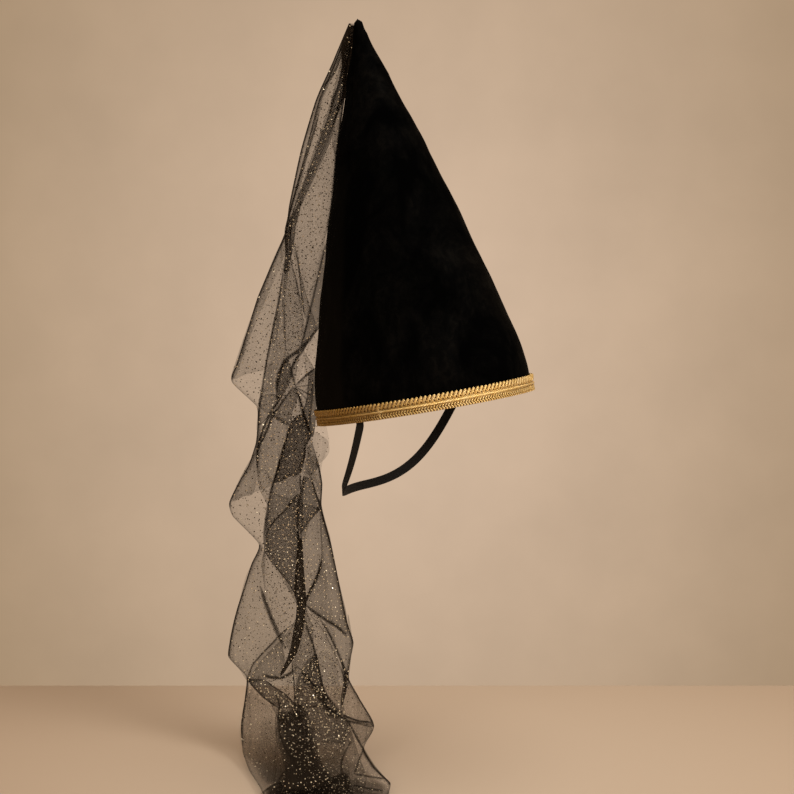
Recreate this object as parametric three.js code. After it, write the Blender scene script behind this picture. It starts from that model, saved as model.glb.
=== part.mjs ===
import * as THREE from "three";

// Hennin: a tall velvet cone with a braided rim, an elastic that holds it on and a long tulle veil.
// Millimetres, +Z up. The wearer faces -Y, and the origin is the middle of the head opening.

// Head opening and cone
const headLength = 190; // front to back inside the rim
const headWidth = 162; // side to side inside the rim
const crownHeight = 341; // along the cone's own axis
const crownLean = 11.7; // degrees that the axis tips back
const crownWall = 2; // velvet over its stiffening
const tipFill = 9; // solid stuffing below the outer tip
const pieceGap = 0.3; // left between neighbouring pieces
const roundSides = 48;
// Where the cone's faces meet, as shares of its outer and inner height
const outerLevels = [1, 0.994, 0.98, 0.945, 0.86, 0.73, 0.58, 0.44, 0.31, 0.2, 0.1, 0];
const innerLevels = [0, 0.05, 0.14, 0.3, 0.52, 0.75, 0.92, 1];

// Braid round the rim
const braidThick = 1.6;
const braidBelow = 0.5; // reach below the velvet's edge
const lowerRow = 5.4;
const cordWidth = 2.4;
const cordProud = 1;
const upperRow = 7.2; // to the tips of the scallops
const scallopPitch = 4.8;
const scallopDepth = 1.3;
const lapAngle = 183; // degrees from +X: where the braid's end laps its start
const lapLength = 11;
const lapRise = 0.8;

// Elastic
const strapWidth = 8;
const strapThick = 1;
const strapTuck = 15; // sewn inside the rim
const strapDrop = 78; // lowest point under the head opening
const strapInset = 25; // from the rim at the back to the loop behind the head
const strapAngle = 79; // degrees from the back to each end
const strapFlare = 6; // the higher, the nearer the rim the loop widens to its ends
const strapSag = 3.3; // the higher, the flatter the loop at the nape
const strapPoints = 14;
const strapSteps = 44;

// Veil
const veilDrop = 671; // from the tip to the surface it reaches
const veilSpread = 90; // unit of the widths in the table of folds
const veilStack = 36; // front fold to back fold where it is fullest
const veilWall = 1;
const veilOff = 30; // from the rim's outline to the middle of the hanging folds
const veilSwing = 4; // degrees from the back, towards the wearer's right
const veilFacing = 58; // degrees from the front that its broad side faces
const veilTipSide = 4; // from the cone's tip to the middle of the gathered end, across
const foldRadius = 3; // how soon a fold turns over
const foldLip = 0.35; // share of the way to the next fold where a fold's turn ends
const veilRowSteps = 2; // rows made for each row of the table

// Half-width of the cone at each share of its height
const crownProfile = [
  { up: 0, wide: 1 },
  { up: 0.09, wide: 0.99 },
  { up: 0.24, wide: 0.86 },
  { up: 0.44, wide: 0.66 },
  { up: 0.65, wide: 0.435 },
  { up: 0.85, wide: 0.2 },
  { up: 0.96, wide: 0.067 },
  { up: 0.99, wide: 0.038 },
  { up: 1, wide: 0 },
];

// The veil from its gathered end to its free end, a row for each level where its folds turn.
// down: share of veilDrop. tip: 1 under the cone's tip, 0 where it hangs free. out: away from the
// viewer's side, share of veilStack. deep: thickness of the stack of folds, share of veilStack.
// Then the places across of its back edge, six folds from back to front, and its front edge, in
// shares of veilSpread.
const veilFolds = [
  { down: 0.007, tip: 1, out: 0, deep: 0.36, across: [0.03, -0.04, 0.04, -0.04, 0.04, -0.03, 0.03, -0.01] },
  {
    down: 0.052, tip: 0.82, out: 0.1, deep: 0.42,
    across: [0.07, -0.09, 0.08, -0.07, 0.06, -0.02, 0.05, 0],
  },
  {
    down: 0.104, tip: 0.64, out: 0.1, deep: 0.5,
    across: [0.11, -0.17, 0.11, -0.14, 0.09, -0.02, 0.1, 0.01],
  },
  {
    down: 0.169, tip: 0.42, out: 0.05, deep: 0.58,
    across: [0.17, -0.2, 0.16, -0.15, 0.04, -0.07, 0.02, -0.05],
  },
  {
    down: 0.241, tip: 0.22, out: 0, deep: 0.52,
    across: [0.25, -0.21, 0.22, -0.19, -0.09, -0.15, -0.11, -0.13],
  },
  {
    down: 0.274, tip: 0.14, out: 0, deep: 0.5,
    across: [0.28, -0.2, 0.21, -0.21, -0.14, -0.2, -0.14, -0.17],
  },
  {
    down: 0.31, tip: 0.08, out: 0, deep: 0.6,
    across: [0.31, -0.28, 0.18, -0.18, -0.11, -0.17, -0.05, -0.08],
  },
  { down: 0.367, tip: 0, out: 0.05, deep: 0.8, across: [0.32, -0.42, 0.12, -0.21, 0.02, -0.16, 0.1, 0.01] },
  {
    down: 0.404, tip: 0, out: 0.08, deep: 0.9,
    across: [0.28, -0.51, 0.06, -0.27, 0.05, -0.16, 0.18, 0.15],
  },
  { down: 0.432, tip: 0, out: 0.1, deep: 1, across: [0.26, -0.58, 0.03, -0.31, 0.01, -0.14, 0.02, 0.09] },
  { down: 0.46, tip: 0, out: 0.1, deep: 1, across: [0.24, -0.65, 0.14, -0.35, -0.02, -0.19, -0.08, 0.03] },
  {
    down: 0.478, tip: 0, out: 0.1, deep: 0.95,
    across: [0.23, -0.69, 0.13, -0.36, -0.04, -0.22, -0.13, -0.03],
  },
  { down: 0.51, tip: 0, out: 0, deep: 0.75, across: [0.21, -0.44, 0.1, -0.41, 0.03, -0.25, -0.23, -0.2] },
  {
    down: 0.538, tip: 0, out: -0.05, deep: 0.75,
    across: [0.26, -0.43, 0.1, -0.14, 0.08, -0.36, -0.35, -0.12],
  },
  {
    down: 0.564, tip: 0, out: -0.05, deep: 0.8,
    across: [0.29, -0.45, 0.13, -0.17, 0.14, -0.42, -0.41, -0.16],
  },
  {
    down: 0.593, tip: 0, out: 0, deep: 0.92,
    across: [0.22, -0.52, 0.19, -0.23, 0.18, -0.43, -0.42, -0.22],
  },
  {
    down: 0.619, tip: 0, out: 0.03, deep: 1,
    across: [0.19, -0.63, 0.22, -0.28, 0.03, -0.41, -0.36, -0.26],
  },
  { down: 0.647, tip: 0, out: 0.05, deep: 1, across: [0.18, -0.73, 0.21, -0.31, 0.03, -0.32, 0.19, -0.1] },
  { down: 0.666, tip: 0, out: 0.02, deep: 0.9, across: [0.2, -0.68, 0.24, -0.34, 0.03, -0.35, 0.1, -0.22] },
  { down: 0.702, tip: 0, out: 0, deep: 0.75, across: [0.22, -0.43, 0.31, -0.36, 0.01, -0.34, 0.02, -0.35] },
  {
    down: 0.729, tip: 0, out: -0.03, deep: 0.78,
    across: [0.24, -0.49, 0.35, -0.4, 0.02, -0.24, 0.01, -0.25],
  },
  {
    down: 0.785, tip: 0, out: -0.05, deep: 0.7,
    across: [0.3, -0.61, 0.43, -0.34, 0.05, -0.03, 0.07, -0.01],
  },
  { down: 0.812, tip: 0, out: -0.03, deep: 0.85, across: [0.32, -0.66, 0.47, -0.27, 0.12, -0.1, 0.23, 0] },
  { down: 0.84, tip: 0, out: 0, deep: 1, across: [0.34, -0.7, 0.53, -0.16, 0.13, -0.28, 0.33, -0.03] },
  { down: 0.863, tip: 0, out: 0, deep: 1, across: [0.35, -0.71, 0.5, -0.09, 0.17, -0.43, 0.4, -0.1] },
  { down: 0.89, tip: 0, out: 0, deep: 0.85, across: [0.37, -0.55, 0.48, -0.06, 0.1, -0.53, 0.46, -0.17] },
  { down: 0.918, tip: 0, out: 0, deep: 0.85, across: [0.4, -0.59, 0.59, -0.05, 0.3, -0.33, 0.43, -0.23] },
  {
    down: 0.952, tip: 0, out: -0.1, deep: 0.8,
    across: [0.45, -0.63, 0.74, -0.03, 0.48, -0.21, 0.48, -0.21],
  },
  { down: 0.974, tip: 0, out: -0.45, deep: 0.55, across: [0.46, -0.6, 0.64, 0, 0.55, -0.14, 0.46, -0.15] },
  {
    down: 0.985, tip: 0, out: -1.3, deep: 0.45,
    across: [0.5, -0.51, 0.75, -0.1, 0.62, -0.08, 0.43, -0.08],
  },
  { down: 0.986, tip: 0, out: -2.4, deep: 0.42, across: [0.52, -0.38, 0.91, -0.2, 0.68, -0.07, 0.45, 0] },
  { down: 0.987, tip: 0, out: -3.5, deep: 0.38, across: [0.5, -0.28, 0.88, -0.15, 0.65, -0.02, 0.47, 0.1] },
];

// How round the curves are that pass through the rows of a table: 0.5 at most, 0 for straight runs
const coneEase = 0.4;
const foldEase = 0.28;
const radians = THREE.MathUtils.degToRad;
const lean = radians(crownLean);

// A value between rows of a table, passing through each row with softened turns
function smoothBetween(before, start, end, after, share, ease) {
  const leave = ease * (end - before);
  const arrive = ease * (after - start);
  const s2 = share * share;
  const s3 = s2 * share;
  return (
    (2 * s3 - 3 * s2 + 1) * start +
    (s3 - 2 * s2 + share) * leave +
    (3 * s2 - 2 * s3) * end +
    (s3 - s2) * arrive
  );
}

function rowAt(table, place, ease) {
  const last = table.length - 1;
  const i = Math.min(Math.floor(place), last - 1);
  const near = [i - 1, i, i + 1, i + 2].map((k) => table[Math.min(Math.max(k, 0), last)]);
  const between = (pick) => smoothBetween(...near.map(pick), place - i, ease);
  const row = {};
  for (const column of Object.keys(table[0])) {
    row[column] = Array.isArray(table[0][column])
      ? table[0][column].map((_, k) => between((r) => r[column][k]))
      : between((r) => r[column]);
  }
  return row;
}

// One closed surface through loops of points, each end either a single point or closed across
function skin(loops, joinsUp = false) {
  const around = loops[0].length;
  const positions = loops.flat().flatMap((p) => [p.x, p.y, p.z]);
  const index = [];
  const at = (i, j) => (i % loops.length) * around + (j % around);
  const quad = (a, b, c, d) => index.push(a, b, c, a, c, d);
  const bands = joinsUp ? loops.length : loops.length - 1;
  for (let i = 0; i < bands; i++) {
    for (let j = 0; j < around; j++) quad(at(i, j), at(i, j + 1), at(i + 1, j + 1), at(i + 1, j));
  }
  const isPoint = (loop) => loop[0].distanceTo(loop[1]) === 0;
  for (const [i, turned] of joinsUp ? [] : [[0, true], [loops.length - 1, false]]) {
    if (isPoint(loops[i])) continue;
    for (let j = 0; j < around / 2 - 1; j++) {
      const corners = [at(i, j), at(i, j + 1), at(i, around - 2 - j), at(i, around - 1 - j)];
      quad(...(turned ? corners.reverse() : corners));
    }
  }
  const geometry = new THREE.BufferGeometry();
  geometry.setAttribute("position", new THREE.Float32BufferAttribute(positions, 3));
  geometry.setIndex(solidTriangles(index, loops.flat()));
  geometry.computeVertexNormals();
  return geometry;
}

// Drops triangles that close on a point and turns them all to face out
function solidTriangles(index, points) {
  const kept = [];
  let volume = 0;
  for (let i = 0; i < index.length; i += 3) {
    const [a, b, c] = [index[i], index[i + 1], index[i + 2]].map((k) => points[k]);
    const flat = a.distanceTo(b) === 0 || b.distanceTo(c) === 0 || c.distanceTo(a) === 0;
    if (flat) continue;
    kept.push(index[i], index[i + 1], index[i + 2]);
    volume += a.dot(b.clone().cross(c));
  }
  return volume < 0 ? kept.reverse() : kept;
}

function piece(name, geometry, color, roughness, metalness) {
  const material = new THREE.MeshStandardMaterial({ color, roughness, metalness, side: THREE.DoubleSide });
  const mesh = new THREE.Mesh(geometry, material);
  mesh.name = name;
  return mesh;
}

// A point of the cone in its own frame: angle from +X, height along the axis, distance off the outer velvet
function crownPoint(angle, height, off) {
  const last = crownProfile.length - 1;
  const share = THREE.MathUtils.clamp(height / crownHeight, 0, 1);
  let i = crownProfile.findIndex((row) => row.up >= share);
  i = Math.max(i, 1);
  const below = crownProfile[i - 1];
  const above = crownProfile[Math.min(i, last)];
  const place = i - 1 + (share - below.up) / (above.up - below.up);
  const wide = rowAt(crownProfile, place, coneEase).wide;
  const halfWidth = Math.max((headWidth / 2 + crownWall) * wide + off, 0);
  const halfLength = Math.max((headLength / 2 + crownWall) * wide + off, 0);
  return new THREE.Vector3(halfWidth * Math.cos(angle), halfLength * Math.sin(angle), height);
}

function tipBack(point) {
  return point.clone().applyAxisAngle(new THREE.Vector3(1, 0, 0), -lean);
}

function makeCrown() {
  const innerHeight = crownHeight - tipFill;
  const loop = (height, off) =>
    Array.from({ length: roundSides }, (_, k) => crownPoint((2 * Math.PI * k) / roundSides, height, off));
  const innerTip = Array.from({ length: roundSides }, () => new THREE.Vector3(0, 0, innerHeight));
  const loops = outerLevels.map((share) => loop(share * crownHeight, 0));
  for (const share of innerLevels.slice(0, -1)) loops.push(loop(share * innerHeight, -crownWall));
  loops.push(innerTip);
  return skin(loops);
}

function makeBraid() {
  const [a, b] = [headLength / 2 + crownWall, headWidth / 2 + crownWall];
  const rimLength = Math.PI * (3 * (a + b) - Math.sqrt((3 * a + b) * (a + 3 * b)));
  const scallops = Math.round(rimLength / scallopPitch);
  const lapHalf = (lapLength / rimLength) * Math.PI;
  const loops = [];
  for (let k = 0; k < scallops * 2; k++) {
    const angle = (Math.PI * k) / scallops;
    const fromLap = Math.abs(angle - radians(lapAngle));
    const lap = lapRise * (1 - THREE.MathUtils.smoothstep(fromLap, lapHalf * 0.7, lapHalf));
    const face = pieceGap + braidThick + lap;
    const cordTop = lowerRow + cordWidth;
    const top = cordTop + upperRow - (k % 2 ? scallopDepth : 0);
    const section = [
      { off: pieceGap, up: 0 },
      { off: face, up: 0 },
      { off: face, up: lowerRow },
      { off: face + cordProud, up: lowerRow + cordWidth / 2 },
      { off: face, up: cordTop },
      { off: face - braidThick / 3, up: top },
      { off: pieceGap, up: top },
    ];
    loops.push(
      section.map(({ off, up }) => {
        const point = crownPoint(angle, Math.max(up - braidBelow, 0), off);
        point.z = up - braidBelow;
        return point;
      }),
    );
  }
  return skin(loops, true);
}

// The elastic runs up inside the rim at both ends and hangs as one loop behind the head
function makeStrap() {
  const endAngle = radians(strapAngle);
  const facetDip = (headLength / 2) * (1 - Math.cos(Math.PI / roundSides));
  const off = -(crownWall + facetDip + pieceGap + strapThick / 2);
  const tucked = (side, height) => tipBack(crownPoint(Math.PI / 2 + side * endAngle, height, off));
  const rim = tucked(1, 0);
  const rimRadius = Math.hypot(rim.x, rim.y);
  const backRadius = headLength / 2 + crownWall - strapInset;
  const points = [];
  const tuckShares = [1, 0.6, 0.25];
  for (const share of tuckShares) points.push(tucked(-1, share * strapTuck));
  for (let k = 0; k <= strapPoints; k++) {
    const s = (2 * k) / strapPoints - 1;
    const radius = backRadius + (rimRadius - backRadius) * Math.abs(s) ** strapFlare;
    const angle = Math.PI / 2 + s * endAngle;
    const z = -strapDrop + (strapDrop + rim.z) * Math.abs(s) ** strapSag;
    points.push(new THREE.Vector3(radius * Math.cos(angle), radius * Math.sin(angle), z));
  }
  for (const share of tuckShares.toReversed()) points.push(tucked(1, share * strapTuck));
  const path = new THREE.CatmullRomCurve3(points);
  const loops = [];
  for (let k = 0; k <= strapSteps; k++) {
    const centre = path.getPointAt(k / strapSteps);
    const tangent = path.getTangentAt(k / strapSteps);
    const outward = new THREE.Vector3(centre.x / headWidth ** 2, centre.y / headLength ** 2, 0);
    const across = tangent.clone().cross(outward).normalize();
    const through = across.clone().cross(tangent).normalize();
    const corner = (w, t) =>
      centre
        .clone()
        .addScaledVector(across, (w * strapWidth) / 2)
        .addScaledVector(through, (t * strapThick) / 2);
    loops.push([corner(-1, -1), corner(1, -1), corner(1, 1), corner(-1, 1)]);
  }
  return skin(loops);
}

// The veil's frame: x across its broad side, y through its folds, z up
function veilAxes() {
  const facing = radians(veilFacing);
  const across = new THREE.Vector3(Math.cos(facing), -Math.sin(facing), 0);
  const away = new THREE.Vector3(Math.sin(facing), Math.cos(facing), 0);
  return { across, away };
}

// One level of the veil: points across and through its stack, from the back edge to the front edge
function foldedSection(row) {
  const places = row.across.map((share) => share * veilSpread);
  const legs = places.length - 1;
  const section = [];
  for (let i = 0; i < legs; i++) {
    const span = places[i + 1] - places[i];
    const turn = Math.sign(span) * Math.min(foldRadius, Math.abs(span) / 3);
    const steps = [
      { across: places[i], through: 0 },
      { across: places[i] + turn, through: foldLip },
      { across: places[i + 1] - turn, through: 1 - foldLip },
    ];
    for (const step of steps) section.push({ across: step.across, through: 0.5 - (i + step.through) / legs });
  }
  section.push({ across: places[legs], through: -0.5 });
  return section.map(({ across, through }) => ({ across, through: through * row.deep * veilStack }));
}

function makeVeil() {
  const { across, away } = veilAxes();
  const tip = tipBack(new THREE.Vector3(0, 0, crownHeight));
  // The gathered end is sewn flat against the cone, just below its rounded tip
  const behindTip = (veilFolds[0].deep * veilStack + veilWall) / 2 + pieceGap;
  const gathered = tip.clone().addScaledVector(across, -veilTipSide).addScaledVector(away, behindTip);
  const hangRadius = headLength / 2 + crownWall + veilOff;
  const swing = radians(veilSwing);
  const hanging = new THREE.Vector3(-Math.sin(swing) * hangRadius, Math.cos(swing) * hangRadius, 0);
  const rows = [];
  const count = (veilFolds.length - 1) * veilRowSteps;
  for (let k = 0; k <= count; k++) rows.push(rowAt(veilFolds, k / veilRowSteps, foldEase));
  const spine = rows.map((row) => {
    const side = THREE.MathUtils.lerp(hanging.dot(across), gathered.dot(across), row.tip);
    const out = THREE.MathUtils.lerp(hanging.dot(away), gathered.dot(away), row.tip);
    return new THREE.Vector3(side, out + row.out * veilStack, tip.z - row.down * veilDrop);
  });
  const sheet = rows.map((row, i) => {
    const before = spine[Math.max(i - 1, 0)];
    const after = spine[Math.min(i + 1, spine.length - 1)];
    const run = new THREE.Vector3(0, after.y - before.y, after.z - before.z).normalize();
    const through = new THREE.Vector3(0, -run.z, run.y);
    return foldedSection(row).map((place) => {
      const point = spine[i].clone().addScaledVector(through, place.through);
      point.x += place.across;
      return point;
    });
  });
  const facing = (i, j) => {
    const up = sheet[Math.max(i - 1, 0)][j];
    const down = sheet[Math.min(i + 1, sheet.length - 1)][j];
    const left = sheet[i][Math.max(j - 1, 0)];
    const right = sheet[i][Math.min(j + 1, sheet[i].length - 1)];
    return down.clone().sub(up).cross(right.clone().sub(left)).normalize();
  };
  const loops = sheet.map((row, i) => {
    const half = veilWall / 2;
    const shifted = (side) => row.map((p, j) => p.clone().addScaledVector(facing(i, j), side * half));
    return [...shifted(1), ...shifted(-1).reverse()];
  });
  return skin(loops);
}

const tilted = new THREE.Group();
tilted.rotation.x = -lean;
tilted.add(piece("cone_crown", makeCrown(), 0x0b0a0a, 0.85, 0));
tilted.add(piece("rim_braid", makeBraid(), 0xb98a3a, 0.4, 0.7));

const turned = new THREE.Group();
turned.rotation.z = -radians(veilFacing);
turned.add(piece("veil", makeVeil(), 0x2a2320, 0.8, 0));

const hennin = new THREE.Group();
hennin.add(tilted, turned, piece("chin_strap", makeStrap(), 0x111111, 0.7, 0));

export default hennin;
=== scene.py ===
import math
import bpy
import numpy as np
from mathutils import Matrix, Vector, geometry, noise


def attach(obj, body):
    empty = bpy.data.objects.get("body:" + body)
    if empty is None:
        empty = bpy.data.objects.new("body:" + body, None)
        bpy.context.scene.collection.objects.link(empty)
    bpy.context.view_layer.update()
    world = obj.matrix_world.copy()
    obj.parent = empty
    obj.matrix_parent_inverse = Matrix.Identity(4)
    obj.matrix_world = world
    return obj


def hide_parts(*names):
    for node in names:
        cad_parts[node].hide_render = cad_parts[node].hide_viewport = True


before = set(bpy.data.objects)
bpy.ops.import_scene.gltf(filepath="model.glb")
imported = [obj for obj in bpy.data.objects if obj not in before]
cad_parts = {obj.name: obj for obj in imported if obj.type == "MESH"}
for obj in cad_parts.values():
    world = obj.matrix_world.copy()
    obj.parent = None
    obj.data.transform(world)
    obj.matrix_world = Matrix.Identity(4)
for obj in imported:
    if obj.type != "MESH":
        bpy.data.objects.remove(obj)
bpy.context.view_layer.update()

rng = np.random.default_rng(7)
scene = bpy.context.scene

# Metres, the hat's own frame: +Z up, the wearer faces -Y, origin in the middle of the head opening


def linear(*rgb):
    return tuple(((c / 255 + 0.055) / 1.055) ** 2.4 if c > 10 else c / 255 / 12.92 for c in rgb) + (1,)


def unit(vectors, least=0.0):
    return vectors / (np.linalg.norm(vectors, axis=-1, keepdims=True) + least)


# Length from the first point along each line of points
def lengthAlong(points, axis=0):
    run = np.cumsum(np.linalg.norm(np.diff(points, axis=axis), axis=-1), axis)
    return np.concatenate([np.zeros_like(run.take([0], axis)), run], axis)


# 0 up to low, 1 from high on, and even between
def ramp(values, low, high):
    return np.clip((values - low) / (high - low), 0, 1)


# How far each point of a line is from its nearer end, in points
def fromEnds(count):
    return np.minimum(np.arange(count), np.arange(count)[::-1])


def fullTurn(count):
    return np.linspace(0, 2 * math.pi, count, endpoint=False)


# Values between the rows of a table, passing through each row with softened turns
def tableAt(table, places, ease):
    last = len(table) - 1
    i = np.clip(np.floor(places).astype(int), 0, last - 1)
    before, start, end, after = (table[np.clip(i + k, 0, last)] for k in (-1, 0, 1, 2))
    s = (places - i)[:, None]
    leave = ease * (end - before)
    arrive = ease * (after - start)
    return (
        (2 * s**3 - 3 * s**2 + 1) * start
        + (s**3 - 2 * s**2 + s) * leave
        + (3 * s**2 - 2 * s**3) * end
        + (s**3 - s**2) * arrive
    )


# A mesh object from points and faces, attached to the root body; the imported part named node, which it
# replaces, is hidden
def addPiece(name, points, faces, materials, node=None, smooth=True):
    mesh = bpy.data.meshes.new(name)
    mesh.from_pydata([tuple(p) for p in points], [], [tuple(int(k) for k in f) for f in faces])
    mesh.validate()
    mesh.polygons.foreach_set("use_smooth", [smooth] * len(mesh.polygons))
    made = bpy.data.objects.new(name, mesh)
    scene.collection.objects.link(made)
    for material in materials:
        mesh.materials.append(material)
    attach(made, "root")
    if node:
        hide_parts(node)
    return made


def setValues(made, name, values):
    layer = made.data.attributes.new(name, "FLOAT", "POINT")
    layer.data.foreach_set("value", np.asarray(values, dtype=np.float32).ravel())


# UVs in metres, from one pair for each point
def setUvs(made, pairs):
    layer = made.data.uv_layers.new(name="cloth")
    corner = np.empty(len(made.data.loops), dtype=np.int32)
    made.data.loops.foreach_get("vertex_index", corner)
    layer.data.foreach_set("uv", np.asarray(pairs, dtype=np.float32)[corner].ravel())


# Faces between rows of points, each row open or closed into a ring
def gridFaces(rows, columns, closed=False, start=0):
    r, c = np.meshgrid(np.arange(rows - 1), np.arange(columns if closed else columns - 1), indexing="ij")
    beside = (c + 1) % columns
    here, below = r * columns, (r + 1) * columns
    return np.stack([here + c, here + beside, below + beside, below + c], -1).reshape(-1, 4) + start


# Faces from one ring of points to another
def joinRings(first, second):
    return np.stack([first, np.roll(first, -1), np.roll(second, -1), second], 1)


# Shader helpers
def newGroup(name, inputs, outputs):
    tree = bpy.data.node_groups.new(name, "ShaderNodeTree")
    for label, value in inputs.items():
        kind = "NodeSocketVector" if isinstance(value, tuple) else "NodeSocketFloat"
        tree.interface.new_socket(label, in_out="INPUT", socket_type=kind).default_value = value
    for label in outputs:
        tree.interface.new_socket(label, in_out="OUTPUT", socket_type="NodeSocketFloat")
    given, out = tree.nodes.new("NodeGroupInput"), tree.nodes.new("NodeGroupOutput")
    return tree, given.outputs, out.inputs


# A node of a shader: sockets get a value or a link, and settings go on the node itself
def addNode(tree, kind, sockets=None, **settings):
    node = tree.nodes.new("ShaderNode" + kind)
    for key, value in settings.items():
        setattr(node, key, value)
    for key, value in (sockets or {}).items():
        plug(tree, value, node.inputs[key])
    return node


def plug(tree, value, socket):
    if isinstance(value, bpy.types.NodeSocket):
        tree.links.new(value, socket)
    else:
        socket.default_value = value


def maths(tree, operation, *values, clamp=False):
    sockets = dict(enumerate(values))
    return addNode(tree, "Math", sockets, operation=operation, use_clamp=clamp).outputs[0]


def remap(tree, value, low, high, toLow=0.0, toHigh=1.0):
    return addNode(tree, "MapRange", {0: value, 1: low, 2: high, 3: toLow, 4: toHigh}).outputs[0]


def mixColors(tree, share, first, second, blend="MIX"):
    node = addNode(tree, "Mix", {0: share}, data_type="RGBA", blend_type=blend)
    for value, socket in zip((first, second), [s for s in node.inputs if s.type == "RGBA"]):
        plug(tree, value, socket)
    return [s for s in node.outputs if s.type == "RGBA"][0]


def noiseNode(tree, sockets):
    return addNode(tree, "TexNoise", sockets).outputs["Fac"]


def textureSpace(tree, name):
    return tree.nodes.new("ShaderNodeTexCoord").outputs[name]


def attributeOf(tree, name):
    return addNode(tree, "Attribute", attribute_name=name).outputs["Fac"]


def newMaterial(name, sockets):
    material = bpy.data.materials.new(name)
    material.use_nodes = True
    tree = material.node_tree
    shader = tree.nodes["Principled BSDF"]
    for key, value in sockets.items():
        shader.inputs[key].default_value = value
    return material, tree, shader.inputs


def groupNode(tree, group, sockets):
    node = tree.nodes.new("ShaderNodeGroup")
    node.node_tree = group
    for label, value in sockets.items():
        plug(tree, value, node.inputs[label])
    return node.outputs


# Turns a height into the shader's normal
def bumpFrom(tree, shader, height, strength, distance):
    bump = addNode(tree, "Bump", {"Strength": strength, "Distance": distance, "Height": height})
    tree.links.new(bump.outputs["Normal"], shader["Normal"])


# Soft random height on two scales, and a mask of its high places
def makeNapGroup():
    tree, given, out = newGroup("napHeight", {"Scale": 100.0, "Stretch": (1, 1, 1)}, ["Height", "Mask"])
    place = textureSpace(tree, "Object")
    scaled = addNode(tree, "VectorMath", {0: place, 1: given["Stretch"]}, operation="MULTIPLY").outputs[0]
    broad = noiseNode(tree, {
        "Detail": 5.0, "Roughness": 0.62, "Distortion": 0.6, "Vector": scaled, "Scale": given["Scale"],
    })
    fineScale = maths(tree, "MULTIPLY", given["Scale"], 16.0)
    fine = noiseNode(tree, {"Detail": 3.0, "Roughness": 0.6, "Vector": place, "Scale": fineScale})
    tree.links.new(maths(tree, "ADD", broad, maths(tree, "MULTIPLY", fine, 0.3)), out["Height"])
    tree.links.new(remap(tree, broad, 0.42, 0.68), out["Mask"])
    return tree


# Fine ridges across a thread, from UVs in metres
def makeTwistGroup():
    tree, given, out = newGroup("threadTwist", {"Pitch": 0.001, "Slant": 1.0}, ["Height"])
    split = addNode(tree, "SeparateXYZ", {0: textureSpace(tree, "UV")}).outputs
    along = maths(tree, "ADD", split[0], maths(tree, "MULTIPLY", split[1], given["Slant"]))
    turns = maths(tree, "DIVIDE", along, given["Pitch"])
    wave = maths(tree, "ABSOLUTE", maths(tree, "SINE", maths(tree, "MULTIPLY", turns, math.pi)))
    tree.links.new(wave, out["Height"])
    return tree


# How much of what is behind it the net hides: its mesh grain, its gathers and its sharp creases
def makeNetGroup():
    sockets = {"Cover": 0.12, "Crease Cover": 0.5, "Streaks": 0.5}
    tree, given, out = newGroup("netCover", sockets, ["Alpha", "Mask"])
    place = textureSpace(tree, "UV")
    dense, crease = attributeOf(tree, "dense"), attributeOf(tree, "crease")
    grain = noiseNode(tree, {"Scale": 900.0, "Detail": 1.0, "Vector": place})
    drift = noiseNode(tree, {"Scale": 22.0, "Detail": 3.0, "Vector": place})
    long = addNode(tree, "Mapping", {"Scale": (230.0, 7.0, 1.0), "Vector": place}).outputs[0]
    streak = noiseNode(tree, {"Scale": 1.0, "Detail": 3.0, "Roughness": 0.7, "Vector": long})
    lines = maths(tree, "POWER", remap(tree, streak, 0.45, 0.75), 1.5)
    gathered = maths(tree, "SUBTRACT", dense, 1.0, clamp=True)
    lines = maths(tree, "MULTIPLY", maths(tree, "MULTIPLY", lines, given["Streaks"]), gathered)
    blend = maths(tree, "POWER", maths(tree, "MAXIMUM", dense, 1.0), 0.7)
    grains = maths(tree, "DIVIDE", remap(tree, grain, 0.3, 0.7, -0.55, 0.55), blend)
    grained = maths(tree, "MULTIPLY", given["Cover"], maths(tree, "ADD", grains, 1.0))
    drifted = maths(tree, "MULTIPLY", grained, remap(tree, drift, 0.3, 0.7, 0.8, 1.2))
    clear = maths(tree, "POWER", maths(tree, "SUBTRACT", 1.0, drifted), dense)
    for cover in (maths(tree, "MULTIPLY", crease, given["Crease Cover"]), lines):
        clear = maths(tree, "MULTIPLY", clear, maths(tree, "SUBTRACT", 1.0, cover))
    tree.links.new(maths(tree, "SUBTRACT", 1.0, clear, clamp=True), out["Alpha"])
    tree.links.new(grain, out["Mask"])
    return tree


napGroup, twistGroup, netGroup = makeNapGroup(), makeTwistGroup(), makeNetGroup()


def makeVelvet():
    material, tree, shader = newMaterial("velvet_black", {
        "Roughness": 0.85, "Specular IOR Level": 0.012, "Sheen Weight": 0.005, "Sheen Roughness": 0.4,
        "Sheen Tint": linear(190, 176, 160),
    })
    crush = groupNode(tree, napGroup, {"Scale": 26.0, "Stretch": (1.0, 1.0, 0.55)})
    flecks = groupNode(tree, napGroup, {"Scale": 150.0, "Stretch": (1.0, 1.0, 0.8)})
    # Crushed patches of nap are painted lighter in the base colour: a painted sheen on the crushed nap
    wearAndPaintedLight = maths(tree, "MULTIPLY", crush["Mask"], maths(tree, "ADD", 0.35, flecks["Mask"]))
    shade = mixColors(tree, wearAndPaintedLight, (0.0002, 0.0002, 0.0002, 1), (0.0026, 0.0022, 0.0017, 1))
    # a paler, browner strip behind the seam
    shade = mixColors(tree, attributeOf(tree, "faded"), shade, (0.004, 0.003, 0.0019, 1))
    tree.links.new(shade, shader["Base Color"])
    tree.links.new(remap(tree, crush["Mask"], 0, 1, 0.95, 0.6), shader["Roughness"])
    bumpFrom(tree, shader, crush["Height"], 0.5, 0.0016)
    return material


def makeLining():
    material, tree, shader = newMaterial("lining_black", {"Roughness": 0.9, "Specular IOR Level": 0.2})
    weave = groupNode(tree, napGroup, {"Scale": 140.0})
    shade = mixColors(tree, weave["Mask"], (0.006, 0.0055, 0.005, 1), (0.014, 0.013, 0.012, 1))
    tree.links.new(shade, shader["Base Color"])
    bumpFrom(tree, shader, weave["Height"], 0.4, 0.0004)
    return material


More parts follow.
